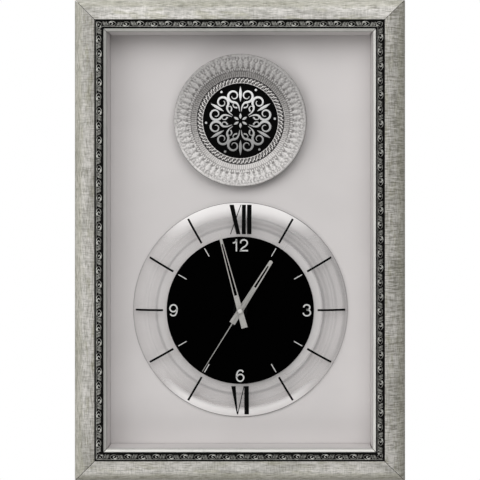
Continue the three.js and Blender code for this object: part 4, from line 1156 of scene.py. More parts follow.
class WALLCLOCK_OT_moulding(Operator):
    """Four mitred lengths of silver moulding"""

    bl_idname = "wallclock.moulding"
    bl_label = "Moulding"

    # Depth of the linen press on each rail's outer and inner part
    PRESS = {"bottom": (0.0, 0.3), "right": (0.75, 0.95), "top": (0.0, 0.15), "left": (0.0, 0.45)}
    # Painted shade on each rail, deeper where the rail faces away from the light: at its outer
    # edge, its middle, beside the strip and on the lip
    RAIL_SHADE_PLACES = (0, STRIP_OUTER / 2, STRIP_OUTER, STRIP_INNER)
    AGE = {
        "bottom": (0.5, 0.05, 0.3, 0.0),
        "right": (0.33, 0.35, 0.26, 0.07),
        "top": (0.0, 0.0, 0.04, 0.27),
        "left": (0.0, 0.2, 0.36, 0.49),
    }
    FACE_STEPS = 30
    LIP_STEPS = 10
    ALONG_STEPS = 24
    SOFT_EDGE = 0.4 * MM
    # Pull of the face's curve: up its outer side in falls, and along its crown in widths
    FACE_PULL = (0.55, 0.4)
    # Groove behind the bead and start of the cove, in bead radii inward and down from the crest
    BEAD_GROOVE = (2.1, 1.6)
    COVE_START = (2.4, 0.8)
    COVE_SWELL = 0.25 * MM
    # Heights between which a mitre opens, and the share of its gap that it has below them
    MITRE_OPENS = (30 * MM, 40 * MM)
    MITRE_SHUT = 0.02
    # Finishes of the faces, by their place in the list of materials
    FOIL, LIP, WOOD, MITRE = range(4)

    def section(self, s):
        """Points (inward, outward) of the moulding with the finish of the face after each point."""
        face = STRIP_OUTER - s.seat_gap
        channel = STRIP_BACK - s.seat_gap
        lip = STRIP_INNER + s.seat_gap
        ledge = LINER_FRONT + s.seat_gap
        rabbet = LINER_OUTER - s.seat_gap
        nose = ledge + s.lip_nose
        crest = nose + s.lip_round
        shoulder = CROWN - s.face_fall
        soft = self.SOFT_EDGE
        up, along = self.FACE_PULL
        outer = bezier([
            (0, shoulder), (0, shoulder + s.face_fall * up), (face * along, CROWN), (face, CROWN),
        ], self.FACE_STEPS)[:-1]
        turns = math.pi * (1 - np.arange(self.LIP_STEPS + 1) / self.LIP_STEPS)
        bead = np.stack([
            lip + s.bead * (1 + np.cos(turns)), crest - s.bead * (1 - np.sin(turns)),
        ], axis=1)
        groove, start = [
            np.array((lip + inward * s.bead, crest - down * s.bead))
            for inward, down in (self.BEAD_GROOVE, self.COVE_START)
        ]
        end = np.array((RAIL_WIDTH, nose))
        cove = bezier([start, (start + end) / 2 + self.COVE_SWELL, end], self.LIP_STEPS)
        foil = [
            (0, soft), (0, shoulder * 0.5), *outer, (face - soft, CROWN),
            (face - soft * 0.3, CROWN - soft * 0.3), (face, CROWN - soft), (face, channel),
        ]
        silver = [(lip, channel), *bead, groove, *cove]
        wood = [(RAIL_WIDTH, ledge), (rabbet, ledge), (rabbet, soft), (rabbet - soft, 0)]
        points = [(soft, 0), *foil, *silver, *wood]
        marks = [
            self.WOOD, *[self.FOIL] * len(foil), *[self.LIP] * len(silver),
            *[self.WOOD] * len(wood),
        ]
        return np.array(points), marks

    def execute(self, context):
        s = settings_of(context, "moulding")
        section, marks = self.section(s)
        inward, outward = section.T
        opened = np.interp(outward, self.MITRE_OPENS, (self.MITRE_SHUT, 1))
        gaps = opened * s.mitre_gap / DIAGONAL
        materials = [
            surface("silver_foil", silver_foil, s), surface("lip_silver", lip_silver, s),
            surface("raw_wood", raw_wood, s), surface("mitre_stain", moulded, s.mitre, 0.8),
        ]
        n = len(section)
        rows = self.ALONG_STEPS + 1
        last = self.ALONG_STEPS * n
        faces = grid_faces(rows, n, wrap=True)
        faces += [tuple(range(n)), tuple(reversed(range(last, last + n)))]
        # The cut ends take the painted shade of the mitre gap
        marks = marks * self.ALONG_STEPS + [self.MITRE] * 2
        for side in SIDES:
            place, half = rail_place(side)
            x = np.linspace(-1, 1, rows)[:, None] * (half - inward - gaps)
            points = np.stack(np.broadcast_arrays(x, inward, outward), axis=2).reshape(-1, 3)
            press = np.interp(inward, OUTER_BAND, self.PRESS[side])
            # Painted shade per rail, across its width
            age = np.interp(inward, self.RAIL_SHADE_PLACES, self.AGE[side])
            values = {"press": np.tile(press, rows), "age": np.tile(age, rows)}
            mesh = mesh_of(points, faces, 40.0, values, marks)
            node = f"frame_rail_{side}"
            add_piece(f"moulding_{side}", mesh, materials, (node,), place)
        return {"FINISHED"}


class WALLCLOCK_OT_ornament(Operator):
    """Four black strips with running scrolls in relief"""

    bl_idname = "wallclock.ornament"
    bl_label = "Ornament"

    ALONG_STEP = 0.36 * MM
    RELIEF_COLUMNS = 25
    # Share of the ground's depth that the highest scrolls rise
    RISE = 0.96
    # Length over which the relief falls away at a strip's ends
    END_FALL = 0.6 * MM
    # Painted shade per strip: share of the relief's brightness kept on each strip, less on the
    # bottom and right
    STRIP_LIGHT_SHARE = {"bottom": 0.88, "right": 0.9, "top": 0.98, "left": 1.0}
    # Silver line on the side of each strip that catches the light, a raised bead and partly a
    # painted highlight; its place and half width in half bands, and height
    LIT_LINE_SIDE = {"bottom": -1, "right": 1, "top": 1, "left": -1}
    LINE = (0.9, 0.11, 0.8)
    # Border: share of its width, and height above its top in relief depths
    BORDER = ((0, -0.5), (0.15, -0.1), (0.4, 0), (0.6, 0), (0.85, -0.1))

    # One scroll, in half widths of the band: along the strip, and across it towards the scroll's
    # side, with the stroke's half widths and height
    STROKES = (
        (  # curl
            ((1.35, -0.2), (1.15, 0.4), (0.62, 0.55), (0.15, 0.25), (0.22, -0.16), (0.6, -0.14)),
            (0.09, 0.15, 0.18, 0.16, 0.15, 0.13), 1.0,
        ),
        (  # brow
            ((-1.05, 0.05), (-0.65, 0.56), (0.0, 0.82), (0.7, 0.84), (1.35, 0.6), (1.7, 0.1)),
            (0.08, 0.12, 0.14, 0.14, 0.12, 0.08), 0.85,
        ),
        (  # keel
            ((-1.05, -0.05), (-0.5, -0.5), (0.2, -0.68), (0.9, -0.6), (1.5, -0.3)),
            (0.08, 0.12, 0.14, 0.12, 0.08), 0.75,
        ),
    )
    # Leaf ribs after the scroll: a rib, its half widths, and where each starts and how high it is
    RIB = ((0.3, 0.78), (0.04, 0.1), (-0.26, -0.6))
    RIB_WIDTHS = (0.09, 0.13, 0.09)
    RIBS = ((1.95, 1.0), (2.4, 0.85), (2.85, 1.0), (3.2, 0.85))
    # Low leaf ground, the reach of its fall at the borders, and the hollow eye round the curl:
    # middle along and across, half length, half height and reach of its edge
    GROUND = 0.12
    GROUND_FALL = 0.08
    EYE = (0.2, 0.06, 1.25, 0.62, 0.3)

    def strokes(self, period, half):
        """Strokes of one period; its second half is the first turned over."""
        lines = list(self.STROKES)
        for start, top in self.RIBS:
            rib = [(start + along, across) for along, across in self.RIB]
            lines.append((rib, self.RIB_WIDTHS, top))
        out = []
        for shift, flip in ((0, 1), (period / 2, -1)):
            for line, widths, top in lines:
                corners = [(along * half + shift, across * half * flip) for along, across in line]
                path = smooth_path(corners, 4)
                out.append((path, spread(widths, len(path)) * half, top))
        return out

    def relief(self, points, period, half, side):
        """Height at points (along, across from the band's middle), repeated along the strip."""
        folded = np.stack([np.mod(points[:, 0], period), points[:, 1]], axis=1)
        near = []
        for path, widths, top in self.strokes(period, half):
            for shift in (-period, 0.0, period):
                moved = path + np.array((shift, 0))
                if moved[:, 0].max() > -half and moved[:, 0].min() < period + half:
                    near.append((moved, widths, top))
        scroll = period / 2 / half
        along = folded[:, 0] / half + scroll / 2
        flip = 1 - 2 * np.mod(np.floor(along / scroll), 2)
        along = np.mod(along, scroll) - scroll / 2
        across = folded[:, 1] / half
        x, y, a, b, fall = self.EYE
        eye = ramp((1 - ((along - x) / a) ** 2 - ((across * flip - y) / b) ** 2) / fall)
        ground = self.GROUND * (1 - eye) * ramp((1 - np.abs(across)) / self.GROUND_FALL)
        # The raised silver line on the lit side is partly a painted highlight
        place, width, top = self.LINE
        line = top * dome((across - place * self.LIT_LINE_SIDE[side]) / width)
        return np.maximum(np.maximum(ground, line), raised(folded, near))

    def execute(self, context):
        s = settings_of(context, "ornament")
        gap = settings_of(context, "moulding").seat_gap / DIAGONAL
        floor = STRIP_FRONT - s.floor_drop
        width = STRIP_INNER - STRIP_OUTER
        half_band = width / 2 - s.border
        middle_line = (STRIP_OUTER + STRIP_INNER) / 2
        band = np.linspace(s.border, width - s.border, self.RELIEF_COLUMNS)
        edge, drop = np.array(self.BORDER, float).T
        edge = edge * s.border
        inward = STRIP_OUTER + np.concatenate([edge, band, width - edge[::-1]])
        drops = np.concatenate([drop, np.zeros(len(band)), drop[::-1]])
        in_band = np.repeat((False, True, False), (len(edge), len(band), len(edge)))
        n = len(inward)
        material = surface("scroll_relief", scroll_relief, s)
        for side in SIDES:
            place, half = rail_place(side)
            reach = half - middle_line
            period = 2 * reach / round(2 * reach / s.period)
            rows = int(2 * reach / self.ALONG_STEP)
            t = np.linspace(-1, 1, rows + 1)[:, None]
            x = t * (half - inward - gap)
            y = np.broadcast_to(inward, x.shape)
            samples = np.stack([(x + reach).ravel(), (y - middle_line).ravel()], axis=1)
            value = self.relief(samples, period, half_band, side).reshape(x.shape) * in_band
            ends = np.minimum(1, (1 - np.abs(t)) * reach / self.END_FALL)
            relief = floor + value * s.floor_drop * self.RISE * ends
            z = np.where(in_band, relief, STRIP_FRONT + drops * s.floor_drop)
            front = np.stack([x, y, z], axis=2)
            back = front[:, [0, -1]].copy()
            back[:, :, 2] = STRIP_BACK
            first = front.shape[0] * n
            faces = grid_faces(rows + 1, n)
            for i in range(rows):
                a, b, c = first + 2 * i, i * n, i * n + n - 1
                faces.append((a, a + 1, a + 3, a + 2))
                faces.append((a, a + 2, b + n, b))
                faces.append((a + 1, c, c + n, a + 3))
            last = rows * n
            faces.append((first, *range(n), first + 1))
            faces.append((first + 2 * rows, *range(last, last + n), first + 2 * rows + 1))
            points = np.concatenate([front.reshape(-1, 3), back.reshape(-1, 3)])
            tone = np.zeros(len(points))
            # Painted shade per strip
            tone[:first] = value.ravel() * self.STRIP_LIGHT_SHARE[side]
            mesh = mesh_of(points, faces, 50.0, {"relief": tone})
            node = f"ornament_strip_{side}"
            add_piece(f"scroll_strip_{side}", mesh, [material], (node,), place)
        return {"FINISHED"}


class WALLCLOCK_OT_box(Operator):
    """Board, liners and the steel fittings at the back"""

    bl_idname = "wallclock.box"
    bl_label = "Box and fittings"

    # Painted shade lines along the liners, where they meet the lip and the board: depth, width and
    # strength, and their strength on the top liner
    SHADE_LINES = ((LINER_FRONT, 1.5 * MM, 0.8), (BOARD_FRONT, 3.4 * MM, 0.7))
    SOFT_SHADE_LINE = 0.3
    POINT_EDGE = 0.1 * MM
    HANGER_EDGE = 0.15 * MM
    NAIL_EDGE = 0.2 * MM
    # Corner nails: the bends of one in millimetres, and its thickness, depth and height proud
    NAIL_WAVE = ((-4.5, -1.4), (-2.2, 1.4), (0, -1.4), (2.2, 1.4), (4.5, -1.4))
    NAIL_SHEET = 0.7 * MM
    NAIL_DEPTH = 4 * MM
    NAIL_PROUD = 0.1 * MM
    NAIL_INSETS = (9 * MM, 20 * MM)
    CORNERS = {
        "bottom_left": (-1, -1), "bottom_right": (1, -1), "top_right": (1, 1), "top_left": (-1, 1),
    }

    def execute(self, context):
        s = settings_of(context, "box")
        painted = surface("pale_paint", pale_paint, s)
        lined = surface("liner_paint", pale_paint, s, self.SHADE_LINES)
        soft_shade_lines = [(place, width, self.SOFT_SHADE_LINE) for place, width, _ in self.SHADE_LINES]
        soft_lined = surface("soft_liner_paint", pale_paint, s, soft_shade_lines)
        steel = surface("fitting_steel", metal, s.steel)
        softened("back_board", s.edge, painted)
        for side in SIDES:
            finish = soft_lined if side == "top" else lined
            softened(f"box_liner_{side}", s.edge, finish)
            for number in (1, 2):
                point = f"framers_point_{side}_{number}"
                softened(point, self.POINT_EDGE, steel)
        softened("sawtooth_hanger", self.HANGER_EDGE, steel)
        for side in ("left", "right"):
            softened(f"hanger_nail_{side}", self.NAIL_EDGE, steel)
        self.corner_nails(steel)
        return {"FINISHED"}

    def corner_nails(self, steel):
        """Bent strips of steel driven across each mitre from behind."""
        path = smooth_path(in_metres(self.NAIL_WAVE), 5)
        for name, (sx, sz) in self.CORNERS.items():
            angle = math.atan2(sz, sx) + math.pi / 2
            facing = Matrix.Rotation(-math.pi / 2, 4, "X") @ Matrix.Rotation(-angle, 4, "Z")
            for number, inset in enumerate(self.NAIL_INSETS, 1):
                mesh = ribbon(path, self.NAIL_SHEET, 0.0, self.NAIL_DEPTH + self.NAIL_PROUD)
                x = sx * (HALF_WIDTH - inset)
                z = FRAME_MIDDLE + sz * (HALF_HEIGHT - inset)
                place = Matrix.Translation((x, -self.NAIL_DEPTH, z)) @ facing
                nail = f"corner_nail_{name}_{number}"
                add_piece(nail, mesh, [steel], (), place)


class WALLCLOCK_OT_plate(Operator):
    """Embossed plate with its rope ring, petals and black centre"""

    bl_idname = "wallclock.plate"
    bl_label = "Embossed plate"

    AROUND = 840
    # Circles of points across the rope ring, the wall, the rim and its roll
    CIRCLES = (18, 20, 30, 8)
    WELL_GAP = 0.05 * MM
    # Radii where the rope ring, the wall, the rim and its roll start
    ROPE = DISC_RADIUS + 0.3 * MM
    WALL = ROPE + 6.3 * MM
    RIM = WALL + 5.9 * MM
    ROLL = PLATE_RADIUS - 1.6 * MM
    ROLL_SWELL = 0.5 * MM
    ROLL_FALL = 0.6 * MM
    # Slits of the rope ring, in millimetres along the ring and across it, with steps and half width
    HOOK = (
        (0.5, -2.2), (-0.3, -1.5), (0.1, -0.3), (0.8, 0.7), (0.7, 1.7), (-0.1, 2.0), (-0.6, 1.4),
    )
    FLECK = ((1.5, -1.9), (1.3, -1.0), (1.7, -0.2))
    SLITS = ((HOOK, 5, 0.6 * MM), (FLECK, 4, 0.5 * MM))
    ROPE_LEAN = 0.7
    # Groove outside the rope: distance from the ring's middle, and half width
    ROPE_GROOVE = (2.9 * MM, 0.65 * MM)
    ROPE_INK = 0.9
    # Flutes: how far they keep from the wall's ends, how they fade there, and their mean and swing
    FLUTE_MARGIN = 0.7 * MM
    FLUTE_FADE = 0.8 * MM
    FLUTE_MEAN, FLUTE_SWING = 0.54, 0.52
    DASH_LENGTH = 2.6 * MM
    DASH_TONE = 0.8
    PETAL_START = 2.3 * MM
    PETAL_LENGTH = 8.2 * MM
    # Rows of beads: distance inside the roll, and radius
    BEAD_ROWS = ((3.9 * MM, 0.95 * MM), (2.3 * MM, 0.7 * MM))
    BEAD_TONE = 0.9
    # Heights of flutes, dashes, petals and beads, in petal heights
    LIFTS = (0.3, 0.6, 1.0, 0.7)
    # A lobe: width at its root and what it gains, the power it gains by, where its root is full
    # and where its end starts
    LOBE_ROOT, LOBE_GAIN, LOBE_POWER, LOBE_FULL, LOBE_END = 0.34, 0.56, 0.7, 0.1, 0.66
    # Plain ground: from this far outside the rim's start, and its tone
    GROUND_START = 4.5 * MM
    GROUND_TONE = 0.3
    # Bright roll: how far inside the roll it starts and is full, and its tone
    BRIGHT_START, BRIGHT_RISE, BRIGHT_TONE = 1.3 * MM, 0.4 * MM, 0.7

    PAD_EDGE = 0.2 * MM
    DISC_EDGE = 0.15 * MM
    DISC_FACETS = 144
    TRACERY_SINK = 0.03 * MM
    TRACERY_RISE = 0.35 * MM
    # Tracery, in millimetres about the y axis of each sector: the curl's middle and its first and
    # last radius, and in degrees where it starts and how far it winds
    SECTORS = 6
    CURL_MIDDLE = (6.8, 25.2)
    CURL_RADII = (6.6, 2.0)
    CURL_START, CURL_WIND, CURL_POINTS = -100, 450, 30
    STEM = ((0.8, 9.5), (1.6, 14), (3.4, 17.4))
    TENDRIL = ((3.2, 13.2), (6.2, 13.8), (7.6, 16.2), (6.2, 17.6))
    # Width of stem and curl at shares of their length, and of a tendril at its ends
    SCROLL_WIDTHS = ((0, 0.5), (0.2, 1.7), (0.55, 2.5), (1, 0.6))
    TENDRIL_WIDTHS = (1.7, 0.5)
    # Leaf and petal: where they start, step, number of points, width, and ease at either end
    SPINDLES = ((19.5, 1.55, 11, 3.0, 0.08, 0.02), (2.2, 0.6, 10, 2.5, 0.15, 0.05))
    # Dot: its middle, radius, number of points and ease at its ends
    DOT = (15.6, 31.2, 1.2, 9, 0.06)

    def execute(self, context):
        s = settings_of(context, "plate")
        self.pressed_plate(s)
        self.centre_disc(s)
        foam = surface("foam_pad", moulded, s.foam, 0.85, 500.0)
        softened("plate_adhesive_pad", self.PAD_EDGE, foam)
        return {"FINISHED"}

    def dish(self, radius, s):
        """Height of the pressed sheet's front above the plate's back, without its relief."""
        wall = ramp((radius - self.WALL) / (self.RIM - self.WALL))
        slope = ramp((radius - self.RIM) / (self.ROLL - self.RIM))
        roll = ramp((radius - self.ROLL) / (PLATE_RADIUS - self.ROLL))
        height = s.well + s.wall_rise * wall ** 2 * (3 - 2 * wall) + s.rim_rise * slope
        return height + self.ROLL_SWELL * np.sin(math.pi * roll) - self.ROLL_FALL * roll ** 3

    def lobes(self, turns, step):
        """Relief of a row of lobes: narrow at the root, widest at two thirds, with a round end.

        turns counts lobes round the plate, and step runs 0 to 1 outward along a lobe.
        """
        side = np.abs(np.mod(turns, 1) - 0.5) / 0.5
        inside = (step > 0) & (step < 1)
        width = self.LOBE_ROOT + self.LOBE_GAIN * ramp(step) ** self.LOBE_POWER
        width = width * dome(ramp(step - self.LOBE_END) / (1 - self.LOBE_END))
        width = np.maximum(width * ramp(step / self.LOBE_FULL), 1e-6)
        return dome(side / width) * inside

    def rope(self, around, across, pitch):
        """Relief of the leaning rope: around along the ring, across from its middle, in metres."""
        leaning = around + across * self.ROPE_LEAN
        folded = np.stack([np.mod(leaning + pitch / 2, pitch) - pitch / 2, across], axis=1)
        slits = []
        for shift in (-pitch, 0, pitch):
            for line, steps, width in self.SLITS:
                path = in_metres(smooth_path(line, steps)) + np.array((shift, 0))
                slits.append((path, np.full(len(path), width), 1.0))
        place, width = self.ROPE_GROOVE
        return 1 - np.maximum(raised(folded, slits), dome((across - place) / width))

    def relief(self, r, angle, s):
        """Tone, height and ink at each point, by its radius and angle."""
        turns = angle / TAU
        in_rope = (r >= self.ROPE) & (r <= self.WALL)
        ring = (self.ROPE + self.WALL) / 2
        tone = np.zeros(len(r))
        tone[in_rope] = self.rope(angle[in_rope] * ring, r[in_rope] - ring, TAU * ring / s.twists)
        lift = tone * s.rope_height
        wall = ramp((r - self.WALL) / self.FLUTE_FADE)
        wall = wall * ramp((self.RIM - self.FLUTE_MARGIN - r) / self.FLUTE_FADE)
        flutes = wall * (self.FLUTE_MEAN + self.FLUTE_SWING * np.cos(TAU * turns * s.flutes))
        dash_step = (r - self.RIM) / self.DASH_LENGTH
        dashes = self.lobes(turns * s.flutes, dash_step) * self.DASH_TONE
        petal_step = (r - self.RIM - self.PETAL_START) / self.PETAL_LENGTH
        petals = self.lobes(turns * s.petals, petal_step)
        beads = np.zeros(len(r))
        for inset, size in self.BEAD_ROWS:
            row = self.ROLL - inset
            pitch = TAU * row / s.petals / 2
            offset = (np.mod(turns * s.petals * 2 + 0.5, 1) - 0.5) * pitch
            beads = np.maximum(beads, dome(np.hypot(offset, r - row) / size) * self.BEAD_TONE)
        for band, height in zip((flutes, dashes, petals, beads), self.LIFTS):
            tone = np.maximum(tone, band)
            lift = np.maximum(lift, band * s.petal_height * height)
        tone = np.maximum(tone, (r > self.RIM + self.GROUND_START) * self.GROUND_TONE)
        bright = ramp((r - self.ROLL + self.BRIGHT_START) / self.BRIGHT_RISE)
        tone = np.maximum(tone, bright * self.BRIGHT_TONE)
        return tone, lift, in_rope * self.ROPE_INK + (r < self.ROPE)

    def pressed_plate(self, s):
        """The pressed sheet, front and back."""
        starts = (self.ROPE, self.WALL, self.RIM, self.ROLL, PLATE_RADIUS)
        radii = [0.0, self.ROPE - self.WELL_GAP, self.ROPE]
        for start, end, circles in zip(starts, starts[1:], self.CIRCLES):
            radii.extend(np.linspace(start, end, circles)[1:])
        angles = round_angles(self.AROUND)
        r, a = [grid.ravel() for grid in np.meshgrid(radii, angles, indexing="ij")]
        tone, lift, ink = self.relief(r, a, s)
        front = turned(r, a, PLATE_BACK + self.dish(r, s) + lift)
        halfway = (self.WALL + self.RIM) / 2
        under = np.array([
            PLATE_RADIUS, self.ROLL, self.RIM, halfway, self.WALL, self.ROPE, 0.0,
        ])[:, None]
        below = PLATE_BACK + self.dish(under, s) - s.sheet
        back = turned(np.minimum(under, PLATE_RADIUS - s.sheet), angles, below)
        faces = grid_faces(len(radii) + len(under), self.AROUND, wrap=True)
        plain = np.zeros(len(back))
        values = {"relief": np.concatenate([tone, plain]), "ink": np.concatenate([ink, plain])}
        mesh = mesh_of(np.concatenate([front, back]), faces, 60.0, values)
        silver = surface("pressed_silver", pressed_silver, s)
        place = dial_place(PLATE)
        add_piece("pressed_plate", mesh, [silver], ("embossed_plate",), place)

    def centre_disc(self, s):
        """The black disc and its silver tracery."""
        place = dial_place(PLATE)
        mesh = eased_disc(0, DISC_RADIUS, DISC_BACK, DISC_FRONT, self.DISC_EDGE, self.DISC_FACETS)
        black = surface("plate_enamel", matt_print, s.black, 0.5, 0.05)
        add_piece("plate_centre", mesh, [black], ("plate_centre_disc",), place)
        floor = DISC_FRONT - self.TRACERY_SINK
        strokes = [
            ribbon(in_metres(path), in_metres(widths), floor, self.TRACERY_RISE, CROWNED)
            for path, widths in self.tracery()
        ]
        silver = surface("tracery_silver", tracery_silver, s)
        add_piece("plate_tracery", joined(strokes), [silver], (), place)

    def sector(self):
        """Paired scrolls and tendrils, leaf, petal and dot of one sector: paths and widths."""
        out = []
        angles = self.CURL_START + np.linspace(0, self.CURL_WIND, self.CURL_POINTS)
        radii = np.linspace(*self.CURL_RADII, self.CURL_POINTS)
        curl = np.array(self.CURL_MIDDLE) + turned(radii, np.radians(angles), 0.0)[:, :2]
        scroll = np.concatenate([smooth_path([*self.STEM, curl[0]])[:-1], curl])
        tendril = smooth_path(self.TENDRIL)
        shares, widths = np.array(self.SCROLL_WIDTHS).T
        for side in (-1, 1):
            mirror = np.array((side, 1))
            along = np.linspace(0, 1, len(scroll))
            out.append((scroll * mirror, np.interp(along, shares, widths)))
            out.append((tendril * mirror, np.linspace(*self.TENDRIL_WIDTHS, len(tendril))))
        for first, step, points, width, start, end in self.SPINDLES:
            path = [(0, first + i * step) for i in range(points)]
            out.append((path, width * np.sin(np.linspace(start, math.pi - end, points))))
        x, y, radius, points, ease = self.DOT
        path = [(x + radius * math.cos(a), y) for a in np.linspace(0, math.pi, points)]
        out.append((path, 2 * radius * np.sin(np.linspace(ease, math.pi - ease, points))))
        return out

    def tracery(self):
        """The sector repeated round the disc."""
        out = []
        for angle in round_angles(self.SECTORS):
            cos, sin = math.cos(angle), math.sin(angle)
            axes = np.array(((cos, -sin), (sin, cos)))
            out += [(np.array(path) @ axes, widths) for path, widths in self.sector()]
        return out


class WALLCLOCK_OT_glass(Operator):
    """Domed glass with the printed hour marks"""

    bl_idname = "wallclock.glass"
    bl_label = "Glass"

    FACETS = 180
    CURVE_STEPS = 28
    SOFT_EDGE = 0.3 * MM
    # Share of the print's height that is sunk in the glass
    PRINT_SINK = 0.2
    PRINT_ROWS, PRINT_COLUMNS = 16, 2
    MARKED_HOURS = (1, 2, 3, 4, 5, 7, 8, 9, 10, 11)
    # Numerals, in millimetres: height where strokes start and end, and the x of each stroke's
    # corners, two at its start and two at its end
    NUMERALS = {
        "numeral_twelve": (76.6, 106.3, (
            (-4.0, 0.2, -6.7, -11.2), (-10.4, -9.5, 0.9, 0.1),
            (1.5, 5.5, 5.5, 1.5), (6.7, 11.3, 11.3, 6.7),
        )),
        "numeral_six": (-106.3, -76.6, (
            (-3.6, -2.6, -4.7, -9.1), (-3.3, -2.5, 4.2, 3.3), (4.0, 8.6, 8.6, 4.0),
        )),
    }

    def border(self, s, foot, base, rise):
        """Points of the border's curve from its foot to the crease."""
        crease = DIAL_RADIUS + s.flat_margin
        lean = (foot - (foot - crease) * s.lean_in, rise * s.lean_up)
        return bezier([(foot, base), lean, (crease, rise)], self.CURVE_STEPS)

    def height_at(self, s, radius):
        """Front of the glass at a radius."""
        curve = self.border(s, GLASS_RADIUS, s.edge, GLASS_FRONT - GLASS_BACK)[::-1]
        return GLASS_BACK + np.interp(radius, curve[:, 0], curve[:, 1])

    def execute(self, context):
        s = settings_of(context, "glass")
        place = dial_place(CLOCK)
        rise = GLASS_FRONT - GLASS_BACK
        inner_foot = GLASS_RADIUS - s.thickness - s.edge
        soft = self.SOFT_EDGE
        profile = np.array([
            (BUSH_HOLE, rise - s.thickness),
            *self.border(s, inner_foot, 0.0, rise - s.thickness)[::-1],
            (GLASS_RADIUS - soft, 0), (GLASS_RADIUS, soft),
            *self.border(s, GLASS_RADIUS, s.edge, rise),
            (BUSH_HOLE, rise),
        ])
        mesh = lathe(profile + np.array((0, GLASS_BACK)), self.FACETS, 30.0)
        inner = [int(face.normal.z < 0) for face in mesh.polygons]
        mesh.polygons.foreach_set("material_index", inner)
        finishes = [
            material_of("clear_glass", clear_glass, s), material_of("inner_glass", inner_glass, s),
        ]
        add_piece("domed_glass", mesh, finishes, ("dial_glass",), place)
        ink = surface("mark_print", matt_print, s.print, 0.5, 0.05)
        w = s.mark_width / 2
        mark = [(-w, s.mark_inner), (w, s.mark_inner), (w, s.mark_outer), (-w, s.mark_outer)]
        marks = [self.draped(s, mark, TAU * hour / 12) for hour in self.MARKED_HOURS]
        add_piece("hour_marks", joined(marks), [ink], (), place)
        for name, (start, end, strokes) in self.NUMERALS.items():
            quads = [
                self.draped(s, in_metres(list(zip(stroke, (start, start, end, end)))))
                for stroke in strokes
            ]
            add_piece(name, joined(quads), [ink], (), place)
        return {"FINISHED"}

    def draped(self, s, quad, angle=0.0):
        """A printed stroke laid over the dome; the quad runs from one end to the other."""
        rows, columns = self.PRINT_ROWS, self.PRINT_COLUMNS
        a, b, c, d = np.array(quad)
        t = np.linspace(0, 1, rows + 1)[:, None, None]
        u = np.linspace(0, 1, columns + 1)[None, :, None]
        flat = ((a + (d - a) * t) * (1 - u) + (b + (c - b) * t) * u).reshape(-1, 2)
        x, y = flat.T
        z = self.height_at(s, np.hypot(x, y))
        cos, sin = math.cos(angle), math.sin(angle)
        points = np.concatenate([
            np.stack([x * cos + y * sin, y * cos - x * sin, z + level * s.print_height], axis=1)
            for level in (-self.PRINT_SINK, 1 - self.PRINT_SINK)
        ])
        n = columns + 1
        total = len(flat)
        faces = grid_faces(rows + 1, n) + grid_faces(rows + 1, n, total)
        edges = [(i * n + j, n) for i in range(rows) for j in (0, columns)]
        edges += [(i * n + j, 1) for i in (0, rows) for j in range(columns)]
        faces += [(k, k + step, k + step + total, k + total) for k, step in edges]
        return mesh_of(points, faces)


